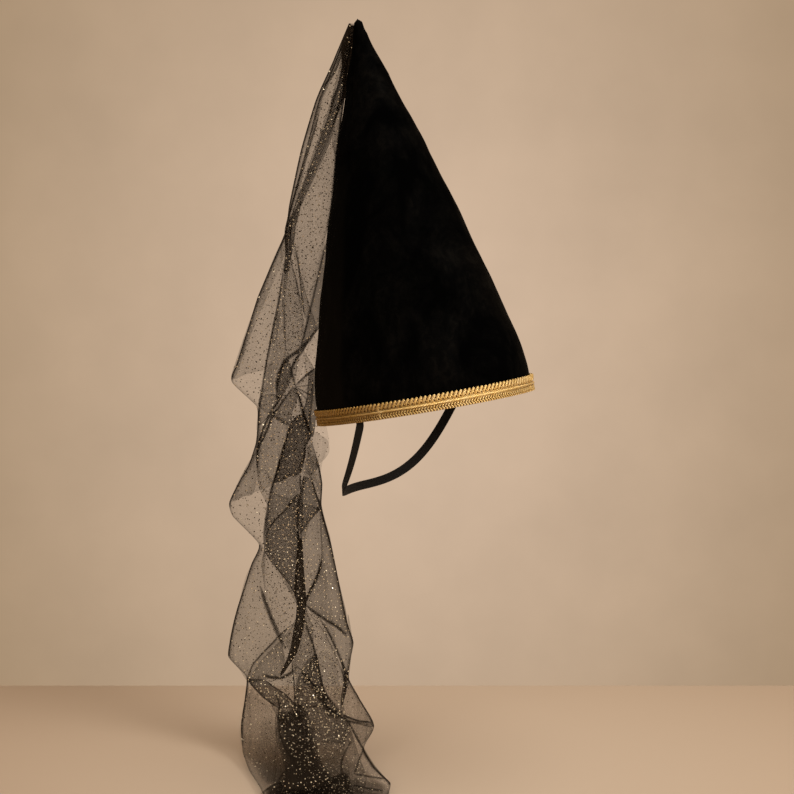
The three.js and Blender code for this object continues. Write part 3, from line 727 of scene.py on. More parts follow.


# Pleats where the net doubles back on itself, and some added layers of net that paint shade: name, layers,
# share, more, outline. layers is how many more thicknesses of net lie there, share is the place in the stack
# (0.5 back, -0.5 front), fade is the width of a soft edge, dots is how many of the dots stay, bright is how
# many of them get a painted glint, and the outlines are in pixels of the photo's 794-pixel frame.
pleatRows = [
    ("tip gather", 22, -0.4, dict(dots=0.06), [(362, 20), (352, 20), (348, 27), (344, 36), (341.5, 46),
        (342, 60), (343, 75), (343, 97), (346, 97), (349, 70), (355, 50), (361, 30)]),
    ("outer band", 2.8, -0.2, dict(dots=0.35), [(350, 28), (340, 50), (331, 68), (321, 88), (315, 105),
        (309.5, 125), (304.5, 145), (300, 165), (296, 185), (293, 200), (291, 212), (296, 204),
        (300, 188), (304, 170), (308, 153), (313, 137), (318, 118), (322, 100), (329, 84), (336, 70),
        (344, 52), (352, 36)]),
    ("upper band", 6.4, -0.3, dict(dots=0.45), [(342, 68), (338, 85), (332, 100), (330.5, 110),
        (327, 120), (320.5, 137), (315, 154), (308.5, 171), (302, 188), (298, 200), (300.6, 206),
        (307, 192), (313, 180), (319, 167), (325, 154), (331, 139), (335, 124), (338, 106), (343, 90)]),
    ("right strip", 3.4, -0.1, dict(dots=0.4), [(343, 92), (338.5, 106), (336, 124), (332, 139),
        (335, 156), (336, 170), (338, 150), (339.5, 130), (341.5, 110)]),
    ("upper panel", 1.8, 0.1, dict(bright=0.12), [(334, 140), (335, 160), (334, 185), (331, 210),
        (328, 237), (317, 280), (308, 318), (305, 318), (302, 299), (300.5, 283), (298, 261),
        (294, 243), (294, 225), (297, 213), (302, 203), (313, 182), (320, 167), (327, 152)]),
    ("gathered cord", 8, -0.45, dict(), [(301.6, 200), (297, 207), (292, 217), (289.5, 227), (287, 240),
        (285.5, 257), (284, 272), (287, 272), (291, 257), (294, 240), (295.5, 227), (299, 213)]),
    ("lobe edge", 1.8, 0.2, dict(), [(288, 231), (279.5, 247), (271, 267), (263, 287), (256, 305),
        (249.5, 322), (242.5, 342), (234.5, 366), (231.5, 377), (236, 375), (244, 352), (251, 334),
        (257, 319), (264, 303), (272, 284), (280, 266), (287, 246)]),
    ("first lobe", 1.7, 0.4, dict(bright=0.25), [(290, 228), (279, 247), (271, 265), (263, 286),
        (256, 305), (251, 320), (244, 340), (232.7, 377), (246, 373.7), (258.7, 371), (264, 370),
        (267, 360), (271.3, 340), (275, 315), (280, 290), (284, 264)]),
    ("middle panel", 0.6, -0.1, dict(), [(290, 262), (294, 262), (298, 280), (302, 300), (305, 318),
        (301, 345), (288, 358), (285.5, 350), (284.5, 320), (284, 300), (286, 280)]),
    ("dark band", 4.4, -0.25, dict(fade=1.5), [(285, 278), (281, 295), (278, 305), (273, 330),
        (267, 360), (263, 382), (261, 395), (276.6, 394.7), (277, 382), (281, 368), (288, 358),
        (285.5, 350), (284.5, 320), (284, 300)]),
    ("dark band edge", 2.6, -0.26, dict(dots=0.5), [(287, 262), (283, 275), (279, 300), (275, 322),
        (270.5, 342), (275, 342), (279, 325), (283, 305), (285.5, 290), (288, 270)]),
    ("strip by the cone", 7.5, -0.2, dict(), [(328.5, 237), (322.5, 258), (317.5, 280), (308.5, 318),
        (301, 347), (310, 338), (319, 326.7), (321.5, 300), (324, 270), (328.5, 245)]),
    ("window", 1.7, 0, dict(bright=0.15), [(318.6, 328), (310, 341.5), (307, 352), (305, 364),
        (305.5, 376), (314.6, 368), (317, 350)]),
    ("window corner", 0.9, 0, dict(), [(318.6, 328), (311, 340), (306, 350), (311, 357), (316, 364),
        (317, 350)]),
    ("twisted wedge", 7, -0.5, dict(), [(288, 359), (291, 366.7), (291.6, 373), (289, 383.5),
        (285.3, 390), (279, 401), (276.6, 394.7), (277, 382), (281, 368)]),
    ("fan", 2, -0.3, dict(), [(295, 386), (305.7, 375.8), (309, 373), (307, 398), (303.6, 413.7),
        (298.7, 396)]),
    ("fan edge", 8, -0.3, dict(), [(309, 373), (316, 369), (316.5, 385), (316, 405), (315, 425),
        (312.5, 437), (310, 432), (303.6, 413.7), (307, 398)]),
    ("left of the fan", 4.8, -0.25, dict(), [(293, 386), (283.2, 400.3), (277, 409.5), (271, 415),
        (289.5, 425), (292, 412), (297, 398)]),
    ("left panel", 4.6, -0.2, dict(), [(261, 395), (259.5, 410), (258, 425), (263, 422), (271, 412),
        (279, 401), (276.6, 394.7)]),
    ("low left edge", 2.8, -0.15, dict(), [(258, 425), (257, 440), (256.5, 452), (262, 441), (267, 430),
        (271, 414), (263, 422)]),
    ("pale panel", 2.4, -0.1, dict(), [(271, 414), (289.5, 425), (285, 441), (280.5, 457), (276, 474),
        (272, 484), (265, 470), (258, 471), (257, 453), (262, 441), (267, 430)]),
    ("below the fan", 10.5, -0.2, dict(), [(289.5, 426), (296, 417), (304, 415), (310, 430), (311, 436),
        (305.5, 446), (304.7, 457), (300.3, 472.8), (288.8, 476.8), (284, 480), (274.4, 482),
        (276, 474.4), (280.8, 456.9), (285.6, 441)]),
    ("below the fan, right", 6, -0.1, dict(fade=2), [(311, 436), (314, 450), (317, 467), (320.5, 482),
        (321, 492), (315.9, 493.6), (311.9, 480.8), (303.5, 476), (300.3, 472.8), (304.7, 457),
        (305.5, 446)]),
    ("raw corner", 1.7, 0.3, dict(bright=0.15), [(311, 430), (320, 435), (327.5, 441), (329, 451),
        (324.6, 458.5), (318, 463), (314, 450)]),
    ("second lobe", 1.8, 0.4, dict(), [(255.7, 451), (247.8, 465.4), (239, 480.8), (231.4, 500.7),
        (244, 496), (256.9, 491), (272, 484), (265, 470), (258, 471), (257, 460)]),
    ("second lobe edge", 2.2, 0.2, dict(), [(256, 452), (247.5, 464.9), (239.5, 480.8), (232.4, 499.7),
        (244, 496), (253, 493), (257, 471)]),
    ("upper diamond", 3.4, -0.2, dict(), [(300, 474), (284, 480), (274.4, 482), (270, 495), (268, 510),
        (266.5, 523), (265, 536), (272.8, 523), (285.6, 509.5), (298.3, 494)]),
    ("middle diamond", 5.4, -0.3, dict(), [(298.3, 494), (291, 501.5), (285.6, 509.5), (280, 515),
        (272.8, 523), (265, 536.6), (264.8, 549.6), (267.5, 556), (276.8, 568), (287.9, 582),
        (295.3, 593), (297, 570), (299, 545), (297.5, 520)]),
    ("right of the diamond", 7, -0.1, dict(), [(303.5, 476), (311.9, 480.8), (315.9, 493.6),
        (319.9, 505.5), (315, 514), (306.3, 524.6), (300.7, 532.6), (298.5, 515), (300.7, 491)]),
    ("right inner fold", 3.2, 0.1, dict(), [(300.8, 533), (306.3, 524.6), (315, 514), (319, 508),
        (321, 535), (322, 557), (319.3, 570), (315.6, 580), (311, 589.4), (305, 603), (303, 568)]),
    ("right band", 5.2, 0, dict(), [(320, 506), (325, 523), (330.5, 545), (335.5, 568), (341, 592),
        (346, 614), (347, 634), (337.8, 627.3), (326.7, 620.8), (317.5, 614.4), (310, 609), (305, 603),
        (311, 589.4), (315.6, 580), (319.3, 570), (322, 557), (321, 535)]),
    ("right lobe edge", 2.6, 0.1, dict(), [(348, 614), (352, 640), (350.5, 660), (347.5, 683),
        (341, 704), (343, 688), (344, 670), (338, 653), (331, 638), (325, 625), (326.7, 620.8),
        (337.8, 627.3), (347, 635)]),
    ("lower cord", 18, -0.5, dict(), [(298, 540), (295.6, 572.7), (294.5, 593), (297, 602.3),
        (296, 619), (293.4, 632.8), (290.6, 648.6), (286.5, 660.6), (280.4, 674.5), (282.3, 674.5),
        (290, 663.4), (295.6, 654), (300, 642), (304, 623.6), (305, 609.7), (306, 600.5), (303.5, 568),
        (301.8, 540)]),
    ("third lobe", 1.8, 0.3, dict(), [(262, 547), (253.8, 561), (246, 577), (239.8, 601), (234, 626),
        (229.6, 648), (230.2, 658), (239.5, 669), (248.4, 681), (252.7, 665), (263.8, 652),
        (276.8, 638.4), (271.5, 618), (266, 600.5), (264.4, 585.7), (265, 565), (264.5, 550)]),
    ("third lobe fold", 3.5, -0.1, dict(), [(289, 627), (276.8, 638.4), (263.8, 652), (252.7, 665),
        (247.6, 681), (264, 680), (271.2, 677), (281.4, 674.5), (285, 662), (283, 650), (282, 638)]),
    ("right fold", 1.6, 0.1, dict(), [(309, 608.5), (316, 613.5), (322, 620.5), (328.5, 630),
        (335, 642.5), (341, 656), (345.5, 668), (347, 676), (343, 674), (337, 660), (331, 647),
        (325, 634), (319, 624.5), (313, 617)]),
    ("right fold wedge", 6, 0, dict(), [(341, 659), (346, 670), (349, 680), (346.5, 690), (343.5, 701),
        (341, 707), (342, 692), (343.5, 682), (342.5, 671)]),
    ("lower triangle edge", 5, -0.22, dict(), [(314, 653), (318, 664), (321, 680), (325, 693),
        (333, 704), (342, 712), (338, 718), (328, 715), (320, 702), (312, 689), (303, 681), (306, 673),
        (310, 663)]),
    ("lower triangle", 5.5, -0.2, dict(), [(316.5, 654), (308, 660.6), (302.7, 668), (298, 679),
        (296.2, 690), (295.3, 707), (325.4, 704.6), (323, 690), (320.2, 674.5)]),
    ("right middle", 1, 0, dict(), [(316.5, 654), (320.2, 674.5), (325.4, 704.6), (340, 709),
        (341, 690), (335, 665), (325, 652)]),
    ("slanted band", 6.6, 0.1, dict(), [(247, 679), (264, 680), (274, 686.8), (285.3, 694.6),
        (294.2, 703.5), (295.3, 707), (279.7, 708), (271.9, 703.5), (261.8, 695.7)]),
    ("upper tuck", 2.2, 0.2, dict(), [(349, 683), (356, 697), (363.5, 711), (372, 722), (359, 721),
        (345, 716), (341, 706)]),
    ("lower tuck", 2.8, 0.2, dict(), [(345, 720), (358, 725), (372, 728), (369, 737), (360, 744),
        (351, 727)]),
    ("right tuck", 5, 0.2, dict(), [(343.3, 714.7), (356.7, 720.3), (371.2, 722.5), (371.2, 727),
        (359, 723.6), (345.5, 720.3)]),
    ("last lobe", 3.4, 0.3, dict(fade=2), [(249, 683), (244, 700), (240.5, 720), (240, 738), (244, 755),
        (253, 768), (263, 780), (272, 787), (286, 778), (297, 774), (294, 766), (287, 751), (281, 738),
        (278.6, 720), (279.7, 708), (262, 696)]),
    # Gathered net at the bottom, with painted shade: its wide soft edge stands in for the shadow there
    ("dark core", 25, -0.3, dict(fade=9, dots=0.6, bright=0.6), [
        (276, 708), (287, 709), (295, 704), (305, 706), (310, 719), (314, 732), (317, 741), (319, 752),
        (323, 763), (332, 777), (320, 788), (305, 790), (282, 790), (285, 772), (281, 756), (276, 741),
        (274.5, 722)]),
    # Added layers of net here paint the shade on the right of the last lobe
    ("last lobe shade", 2.4, 0.28, dict(fade=8, dots=0), [(262, 718), (278, 716), (281, 738),
        (287, 751), (294, 766), (298, 776), (286, 781), (272, 785), (258, 776), (252, 750)]),
    ("bottom gather", 5.4, -0.1, dict(fade=3, dots=0.7), [(303, 706), (325.4, 704.6), (340, 710),
        (351, 727), (358, 740), (345, 747), (330, 744), (318, 746), (311, 736), (305, 722)]),
    ("right of the patch", 1, 0.1, dict(), [(351, 741.5), (360, 746), (363.4, 750), (358.9, 760.4),
        (354.5, 773.8), (341, 772.7), (343.3, 756)]),
    ("ground left", 12, 0.4, dict(fade=3, dots=0.65, bright=0.7), [
        (298, 770), (288, 777.5), (279.5, 782), (270.5, 786.6), (259, 795), (326, 800), (318, 775),
        (313, 762), (306, 768)]),
    ("ground middle", 20, 0.4, dict(fade=3, dots=0.65, bright=0.7), [
        (309, 757), (316, 768), (325, 776), (334, 776.5), (343, 772), (350, 778), (353, 800),
        (326, 800), (318, 776)]),
    ("ground right", 4, 0.4, dict(fade=4, dots=0.65, bright=0.7), [
        (350, 777), (365, 778), (382, 782), (388, 788), (389, 800), (353, 800)]),
    ("last corner", 0.8, 0.2, dict(), [(363.4, 750), (373, 765), (387, 781), (365.6, 776),
        (354.5, 773.8), (358.9, 760.4)]),
]
pleats = [
    dict(name=name, layers=layers, share=share, outline=outline, **more)
    for name, layers, share, more, outline in pleatRows
]
# Sharp folds in the net: how wide, how dark, and the points of its line, in the same pixels
creases = [
    (2, 0.8, [(345, 41), (340, 58), (334, 73), (322, 88)]),
    (2, 0.8, [(344, 56), (339, 84), (335, 95), (331, 109), (327, 120)]),
    (1.6, 0.7, [(342, 70), (341, 90), (337, 112), (333, 125)]),
    (1.6, 0.7, [(320, 110), (313, 135), (307.5, 153), (302, 171), (297, 188), (294, 202)]),
    (2, 0.8, [(283, 273), (278.6, 303), (273, 330), (267, 360), (263.2, 382), (260, 403), (256.6, 430)]),
    (1.6, 0.7, [(294, 243), (298, 261), (300.5, 283), (302, 299), (305, 318)]),
    (1.4, 0.6, [(292, 267), (295, 275), (297, 284), (300, 300)]),
    (1.4, 0.6, [(284, 300), (284.5, 320), (285.5, 350)]),
    (2.2, 0.85, [(327, 237), (322, 258), (317, 280), (308, 318), (301.5, 347)]),
    (3.4, 0.9, [(318, 327), (309, 340), (298, 351), (288, 358), (281, 368), (278.3, 376.5),
        (276.6, 385), (276.2, 394.7)]),
    (2.6, 0.9, [(309, 340), (301.5, 352), (295, 361), (291.6, 370), (292, 375), (295, 385.6)]),
    (2, 0.85, [(295.2, 385.6), (305.7, 375.8), (314.8, 368)]),
    (1.2, 0.6, [(295.2, 386.6), (304, 386), (313, 384)]),
    (1.4, 0.7, [(295.2, 387.2), (303, 391), (312, 396)]),
    (1.2, 0.6, [(295.2, 387.6), (302, 394), (310, 404)]),
    (2.2, 0.85, [(291.6, 389), (283.2, 400.3), (277, 409.5), (272.7, 415), (267, 430), (262, 441),
        (258, 452)]),
    (2.2, 0.85, [(283.2, 392), (279, 401), (274, 407.4), (270, 413.7), (263.6, 427.7), (259, 442),
        (257, 452), (257.7, 471)]),
    (2.8, 0.9, [(295.2, 388.4), (298.7, 396), (300.8, 403), (303.6, 413.7), (307, 424), (311, 435)]),
    (2.2, 0.8, [(313, 379), (312, 398), (310, 417), (311.5, 430)]),
    (2.2, 0.85, [(288.8, 428), (285.6, 441), (280.8, 456.9), (276, 474.4), (272, 487), (267.2, 511),
        (264, 536.6), (264.8, 549.6)]),
    (2, 0.8, [(311, 437), (305.5, 445.7), (304.7, 456.9), (300.7, 464.9), (300.3, 474)]),
    (1.6, 0.85, [(300.3, 474), (300.3, 491)]),
    (1.4, 0.8, [(303.5, 476), (303, 490.4), (300.5, 494)]),
    (2.2, 0.85, [(307.9, 469.6), (311.9, 480.8), (315.9, 493.6), (319.9, 504.7), (323.8, 520.7),
        (328.6, 536.6), (331.8, 550)]),
    (1.6, 0.75, [(298.3, 493.6), (291, 501.5), (285.6, 509.5), (280, 515), (272.8, 523), (268, 531),
        (264.5, 538)]),
    (2, 0.9, [(301, 488), (298.3, 504.7), (297.5, 520.7), (298.5, 536.6), (300, 550)]),
    (1.4, 0.6, [(264.8, 549.6), (267.5, 556), (276.8, 568), (287.9, 582), (295.3, 593)]),
    (3, 0.95, [(303.5, 605), (306, 600), (311, 589.4), (315.6, 580), (319.3, 570), (322, 557)]),
    (3, 0.85, [(305, 604), (310, 609), (317.5, 614.4), (326.7, 620.8), (337.8, 627.3), (348, 637.5)]),
    (2, 0.8, [(317.5, 616), (324.9, 626.4), (331.3, 638.4), (337.8, 653), (344.3, 669.8), (346, 683.7),
        (342, 706)]),
    (2.2, 0.85, [(303.6, 612), (307.3, 628), (312, 642), (316.5, 657.8), (320.2, 674.5), (325.4, 693.5),
        (340, 710)]),
    (3.6, 0.9, [(260, 585.7), (264.8, 600.5), (271.2, 618), (276.8, 631), (280.5, 639.3), (286, 649.5)]),
    (1.6, 0.75, [(295.3, 622.7), (287.9, 628), (276.8, 638.4), (263.8, 652), (252.7, 665), (248.5, 677)]),
    (3, 0.95, [(262, 674), (271.2, 677.5), (282.3, 677.5), (289.7, 673.5), (296, 669.5)]),
    (1.6, 0.8, [(292, 658), (293, 674.5), (294.6, 690), (295.3, 710)]),
    (2.4, 0.85, [(294.4, 664.3), (301.8, 670.8), (309.8, 681), (319.9, 691), (325.4, 704.6),
        (336.6, 714.7), (345.5, 720.3), (359, 723.6), (371.2, 727)]),
    (1.6, 0.8, [(248.4, 681), (261.8, 695.7), (271.9, 703.5), (279.7, 709)]),
    (1.4, 0.7, [(264, 680), (274, 686.8), (285.3, 694.6), (294.2, 703.5)]),
    (2.2, 0.85, [(275.2, 691), (279.7, 706.9), (278.6, 720.3), (280.8, 738), (287.5, 751.5),
        (294.2, 766)]),
    (2, 0.85, [(340, 710), (351, 727), (363.4, 749.3), (374.6, 767), (390, 784)]),
    (1.8, 0.8, [(343.3, 714.7), (356.7, 720.3), (371.2, 722.5)]),
    (1.8, 0.7, [(351, 741.5), (343.3, 756), (341, 772.7)]),
    (1.6, 0.7, [(363.4, 749.3), (358.9, 760.4), (354.5, 773.8)]),
    (1.8, 0.7, [(353.3, 773.8), (365.6, 776), (385.7, 779)]),
    (2, 0.8, [(297.5, 772), (288, 778), (279.5, 782.5), (270.5, 787), (261, 794)]),
    (3, 0.9, [(312.5, 760), (317, 775), (322.7, 793)]),
    (2.2, 0.8, [(352, 785), (366, 788), (384, 791)]),
]


# How pleats and creases are meshed, in pixels: the steps along an outline and across its inside, how far
# the inside keeps off the outline, how much neighbours overlap, and how wide the thicker edge is.
# Under the last row, flatDrop metres a pixel take the net down over flatPixels.
pleatNet = dict(
    edgeStep=3, insideStep=5, clear=2.5, overlap=0.4, edgeWide=5, middle=0.82, edge=0.4,
    creaseStep=2.5, creaseAhead=0.03, creaseAcross=(-0.8, -0.25, 0.25, 0.8), creaseShade=(0, 1.1, 1.1, 0),
    flatPixels=12, flatDrop=0.0003, uvStart=(0.37, 0.21),
)


# Offset from the camera to the right, up and ahead
def fromEye(world):
    offset = world - np.array(eye)
    return [offset @ np.array(axis) for axis in (right, upward, forward)]


def toPixels(world):
    aside, up, ahead = fromEye(world)
    return np.stack([photoMiddle + photoFocus * aside / ahead, photoMiddle - photoFocus * up / ahead], 1)


# Points of the veil at pixels of the photo, at a share of the stack's depth
def atPixels(net, pixels, share):
    pixels = np.asarray(pixels, float)
    world = veilToWorld(net["spine"] + net["through"] * (share * net["stack"])[:, None])
    heights = toPixels(world)[:, 1]
    place = np.interp(pixels[:, 1], heights, np.arange(len(heights)))
    found = np.stack([np.interp(place, np.arange(len(heights)), world[:, k]) for k in range(3)], 1)
    # below the last row the net is flat on the ground
    found[:, 2] -= np.clip(pixels[:, 1] - heights.max(), 0, pleatNet["flatPixels"]) * pleatNet["flatDrop"]
    aside, _, ahead = fromEye(found)
    wanted = (pixels[:, 0] - photoMiddle) / photoFocus * ahead
    return found + (wanted - aside)[:, None] * np.array(right)


# Which points lie inside a closed outline
def insideOutline(points, outline):
    inside = np.zeros(len(points), bool)
    corners = np.asarray(outline, float)
    for (x0, y0), (x1, y1) in zip(corners, np.roll(corners, -1, 0)):
        if y0 == y1:
            continue
        crosses = (points[:, 1] > min(y0, y1)) & (points[:, 1] <= max(y0, y1))
        inside ^= crosses & (points[:, 0] < x0 + (points[:, 1] - y0) * (x1 - x0) / (y1 - y0))
    return inside


# A line through points with round turns, about one point a step
def roundLine(points, step):
    points = np.asarray(points, float)
    run = lengthAlong(points)
    count = max(int(run[-1] / step), 3)
    places = np.interp(np.linspace(0, run[-1], count + 1), run, np.arange(len(points)))
    return tableAt(points, places, lineEase)


def roundOutline(pleat):
    return roundLine(pleat["outline"] + pleat["outline"][:1], pleatNet["edgeStep"])


# Directions square to a line
def squareTo(run, least=0.0):
    return unit(np.stack([run[:, 1], -run[:, 0]], 1), least)


def fromOutline(outline, x, y):
    return np.min(np.hypot(outline[:, 0] - x, outline[:, 1] - y))


def pleatMesh(net, pleat):
    outline = roundOutline(pleat)[:-1]
    # a little wider, so that neighbours overlap
    after = np.roll(outline, -1, 0)
    turns = np.sum(outline[:, 0] * after[:, 1] - after[:, 0] * outline[:, 1])
    outwards = squareTo(after - np.roll(outline, 1, 0), 1e-9) * np.sign(turns)
    outline = outline + outwards * pleatNet["overlap"]
    low, high = outline.min(0), outline.max(0)
    spots = [Vector(p) for p in outline] + [
        Vector((x, y))
        for x in np.arange(low[0] + pleatNet["edgeStep"], high[0], pleatNet["insideStep"])
        for y in np.arange(low[1] + pleatNet["edgeStep"], high[1], pleatNet["insideStep"])
        if fromOutline(outline, x, y) > pleatNet["clear"]
    ]
    edges = [(k, (k + 1) % len(outline)) for k in range(len(outline))]
    made = geometry.delaunay_2d_cdt(spots, edges, [], 1, 1e-4)
    pixels = np.array([tuple(v) for v in made[0]])
    # the net lies thicker towards the folds round a pleat
    inwards = np.array([fromOutline(outline, x, y) for x, y in pixels])
    edge = pleatNet["edge"] * np.exp(-inwards / pleatNet["edgeWide"])
    layers = pleat["layers"] * (pleatNet["middle"] + edge)
    if "fade" in pleat:
        layers = layers * np.clip(inwards / pleat["fade"], 0, 1)
    return atPixels(net, pixels, pleat["share"]), made[2], layers


# A narrow ribbon along a crease, clear at its edges and drawn out at its ends
def creaseMesh(net, outlines, wide, dark, line):
    path = roundLine(line, pleatNet["creaseStep"])
    count = len(path)
    # it lies just in front of the pleat whose edge it follows
    shares = [min((np.min(np.hypot(*(o - p).T)), share) for share, o in outlines)[1] for p in path]
    front = float(np.median(shares)) - pleatNet["creaseAhead"]
    side = squareTo(np.gradient(path, axis=0))
    ends = fromEnds(count) / count
    taper = np.clip(0.35 + ends * 4, 0, 1)[:, None]
    strip = np.stack([path + side * taper * wide * k for k in pleatNet["creaseAcross"]], 1)
    shade = np.array(pleatNet["creaseShade"]) * dark * np.clip(0.3 + ends * 5, 0, 1)[:, None]
    return atPixels(net, strip.reshape(-1, 2), front), gridFaces(*strip.shape[:2]), shade.ravel()


def makeVeil():
    net = veilGrid()
    grid = veilToWorld(net["points"])
    rows, columns = grid.shape[:2]
    acrossRun = lengthAlong(grid, 1)
    downRun = lengthAlong(grid.mean(1))
    faces = [*gridFaces(rows, columns)]
    flatUvs = np.stack(np.broadcast_arrays(acrossRun, downRun[:, None]), -1).reshape(-1, 2)
    parts = [(grid.reshape(-1, 3), net["thick"].ravel(), net["crease"].ravel(), flatUvs)]
    total = rows * columns

    def add(more, moreFaces, dense, crease):
        nonlocal total
        faces.extend([int(k) + total for k in face] for face in moreFaces)
        side, down = pleatNet["uvStart"]
        uvs = np.stack([more @ np.array(right) + side, down - more[:, 2]], 1)
        parts.append((more, dense, crease, uvs))
        total += len(more)

    for pleat in pleats:
        more, moreFaces, layers = pleatMesh(net, pleat)
        add(more, moreFaces, layers, np.zeros(len(more)))
    outlines = [(pleat["share"], roundOutline(pleat)) for pleat in pleats]
    for crease in creases:
        more, moreFaces, shade = creaseMesh(net, outlines, *crease)
        add(more, moreFaces, np.zeros(len(more)), shade)
    points, dense, crease, uvs = (np.concatenate(values) for values in zip(*parts))
    made = addPiece("veil_tulle", points, faces, [tulleMaterial], "veil")
    setValues(made, "dense", dense)
    setValues(made, "crease", crease)
    setUvs(made, uvs)
    area = sum(p.area for p in made.data.polygons)
    sizes = (area, downRun[-1], acrossRun[:, -1].max())
    print("veil area, length and widest row", *(round(float(size), 4) for size in sizes))
    return net


net = makeVeil()
print("veil made")

# Glitter dots: apart and across in metres, tilt in degrees, and pixels apart on the pleats. stray and
# pleatStray are shares of the distance apart, and front is where the stack's front pleats begin.
# bright and dark are the tone ranges of dots with a painted glint and of plain dark dots
glitter = dict(
    apart=0.0056, across=0.00118, tilt=24, pixels=6.4, corners=6, sizes=(0.75, 1.2), stray=0.27,
    pleatStray=0.36, front=0.15, frontShare=-0.54, behindShare=0.02, bright=(0.5, 1), dark=(0, 0.22),
)


# Rows of spots over the whole net: the row and column of each one's cell
def scatterSpots(grid):
    rows, columns = grid.shape[:2]
    acrossRun = lengthAlong(grid, 1)
    middle = slice(columns // 2, columns // 2 + 8)
    downRun = lengthAlong(grid[:, middle].mean(1))
    apart, stray = glitter["apart"], glitter["stray"]
    found = []
    for k, level in enumerate(np.arange(apart / 2, downRun[-1], apart)):
        row = int(np.searchsorted(downRun, level)) - 1
        wide = acrossRun[row, -1]
        spots = np.arange(wide / 2 % apart + (k % 2) * apart / 2, wide, apart)
        spots = np.clip(spots + rng.uniform(-stray, stray, len(spots)) * apart, 0, wide * 0.999)
        shift = rng.uniform(-stray, stray, len(spots)) * apart
        rowsAt = np.clip(np.searchsorted(downRun, level + shift) - 1, 0, rows - 2)
        columnsAt = np.clip(np.searchsorted(acrossRun[row], spots) - 1, 0, columns - 2)
        found.extend(zip(rowsAt, columnsAt))
    return np.array(found).T


# Dots on the folded net itself: places, directions and which are bright
def netDots():
    grid = net["points"]
    i, j = scatterSpots(grid)
    a, b = rng.random(len(i))[:, None], rng.random(len(i))[:, None]
    corners = ((0, 0), (1, 0), (0, 1), (1, 1))
    p00, p10, p01, p11 = (veilToWorld(grid[i + down, j + over]) for down, over in corners)
    centre = p00 * (1 - a) * (1 - b) + p10 * a * (1 - b) + p01 * (1 - a) * b + p11 * a * b
    normal = np.cross(p01 - p00, p10 - p00)
    leg = net["leg"][i, j]
    # many thicknesses of net hide most of the dots behind them, and dots on the front legs and over thick net
    # more often get a painted glint
    pixels = toPixels(centre)
    layers = sum(insideOutline(pixels, pleat["outline"]) * pleat["layers"] for pleat in pleats)
    gathered = np.clip((crown["height"] - centre[:, 2]) / 0.1, 0.06, 1)
    bright = rng.random(len(centre)) < np.clip(0.04 + 0.08 * leg + 0.14 * layers, 0, 0.85)
    shown = np.where((layers > 2) & (leg < 6), 0.3, 1.0)
    shown = shown * np.where(bright, 1, np.clip(1.25 - 0.2 * layers, 0.1, 1))
    kept = rng.random(len(centre)) < shown * gathered
    return centre[kept], normal[kept], bright[kept], np.ones(kept.sum())


# Dots on one pleat, facing the photo's view
def pleatDots(pleat):
    outline, stray = np.array(pleat["outline"]), glitter["pleatStray"]
    low, high = outline.min(0), outline.max(0)
    step = glitter["pixels"] / min(pleat["layers"] / 2, 2.2) ** 0.5
    x, y = np.meshgrid(np.arange(low[0] + 1, high[0], step), np.arange(low[1] + 1, high[1], step))
    spots = np.stack([x.ravel(), y.ravel()], 1) + rng.uniform(-stray, stray, (x.size, 2)) * step
    spots = spots[insideOutline(spots, outline)]
    spots = spots[rng.random(len(spots)) < pleat.get("dots", 1)]
    inFront = pleat["share"] < glitter["front"]
    bright = rng.random(len(spots)) < pleat.get("bright", 0.85 if inFront else 0.4)
    share = glitter["frontShare"] if inFront else pleat["share"] - glitter["behindShare"]
    found = atPixels(net, spots, share)
    normal = np.tile(-np.array(awayFlat), (len(spots), 1))
    return found, normal, bright, np.full(len(spots), 0.93 if pleat["layers"] > 4 else 1.0)


# Small discs scattered over the net and its pleats
def makeGlitterDots():
    parts = [netDots()] + [pleatDots(pleat) for pleat in pleats if pleat["layers"] >= 1.2]
    centre, normal, bright, wide = (np.concatenate(values) for values in zip(*parts))
    count, corners = len(centre), glitter["corners"]
    tilt = np.tan(np.radians(glitter["tilt"])) * rng.normal(0, 0.6, (count, 3))
    normal = unit(unit(normal, 1e-12) + tilt)
    first = unit(np.cross(normal, np.array([0.3, 0.2, 0.93])))
    second = np.cross(normal, first)
    size = glitter["across"] / 2 * wide * rng.uniform(*glitter["sizes"], count)
    ring = fullTurn(corners)
    discs = centre[:, None] + size[:, None, None] * (
        np.cos(ring)[None, :, None] * first[:, None] + np.sin(ring)[None, :, None] * second[:, None]
    )
    points, faces = discs.reshape(-1, 3), np.arange(count * corners).reshape(-1, corners)
    made = addPiece("veil_glitter", points, faces, [glitterMaterial], smooth=False)
    # Shining dots get a pale painted glint, the rest a dark colour
    paintedGlint = np.where(bright, rng.uniform(*glitter["bright"], count), rng.uniform(*glitter["dark"], count))
    setValues(made, "paintedGlint", np.repeat(paintedGlint, corners))
    print("glitter dots", count)


makeGlitterDots()

# Stage, light and camera
floorZ = -0.338
wallBack = 0.29


# Turns an object so that its axes are x, y and z, at a place
def turnTo(made, x, y, z, place):
    made.matrix_world = Matrix([(x[k], y[k], z[k], place[k]) for k in range(3)] + [(0, 0, 0, 1)])


camera = bpy.data.objects.new("camera", bpy.data.cameras.new("camera"))
camera.data.lens = view["lens"]
camera.data.sensor_width = view["sensor"]
camera.data.clip_end = 50
turnTo(camera, right, upward, -forward, eye)
scene.collection.objects.link(camera)
scene.camera = camera


def stagePiece(name, corners, material):
    mesh = bpy.data.meshes.new(name)
    mesh.from_pydata([tuple(c) for c in corners], [], [tuple(range(len(corners)))])
    made = bpy.data.objects.new(name, mesh)
    mesh.materials.append(material)
    scene.collection.objects.link(made)
    return made


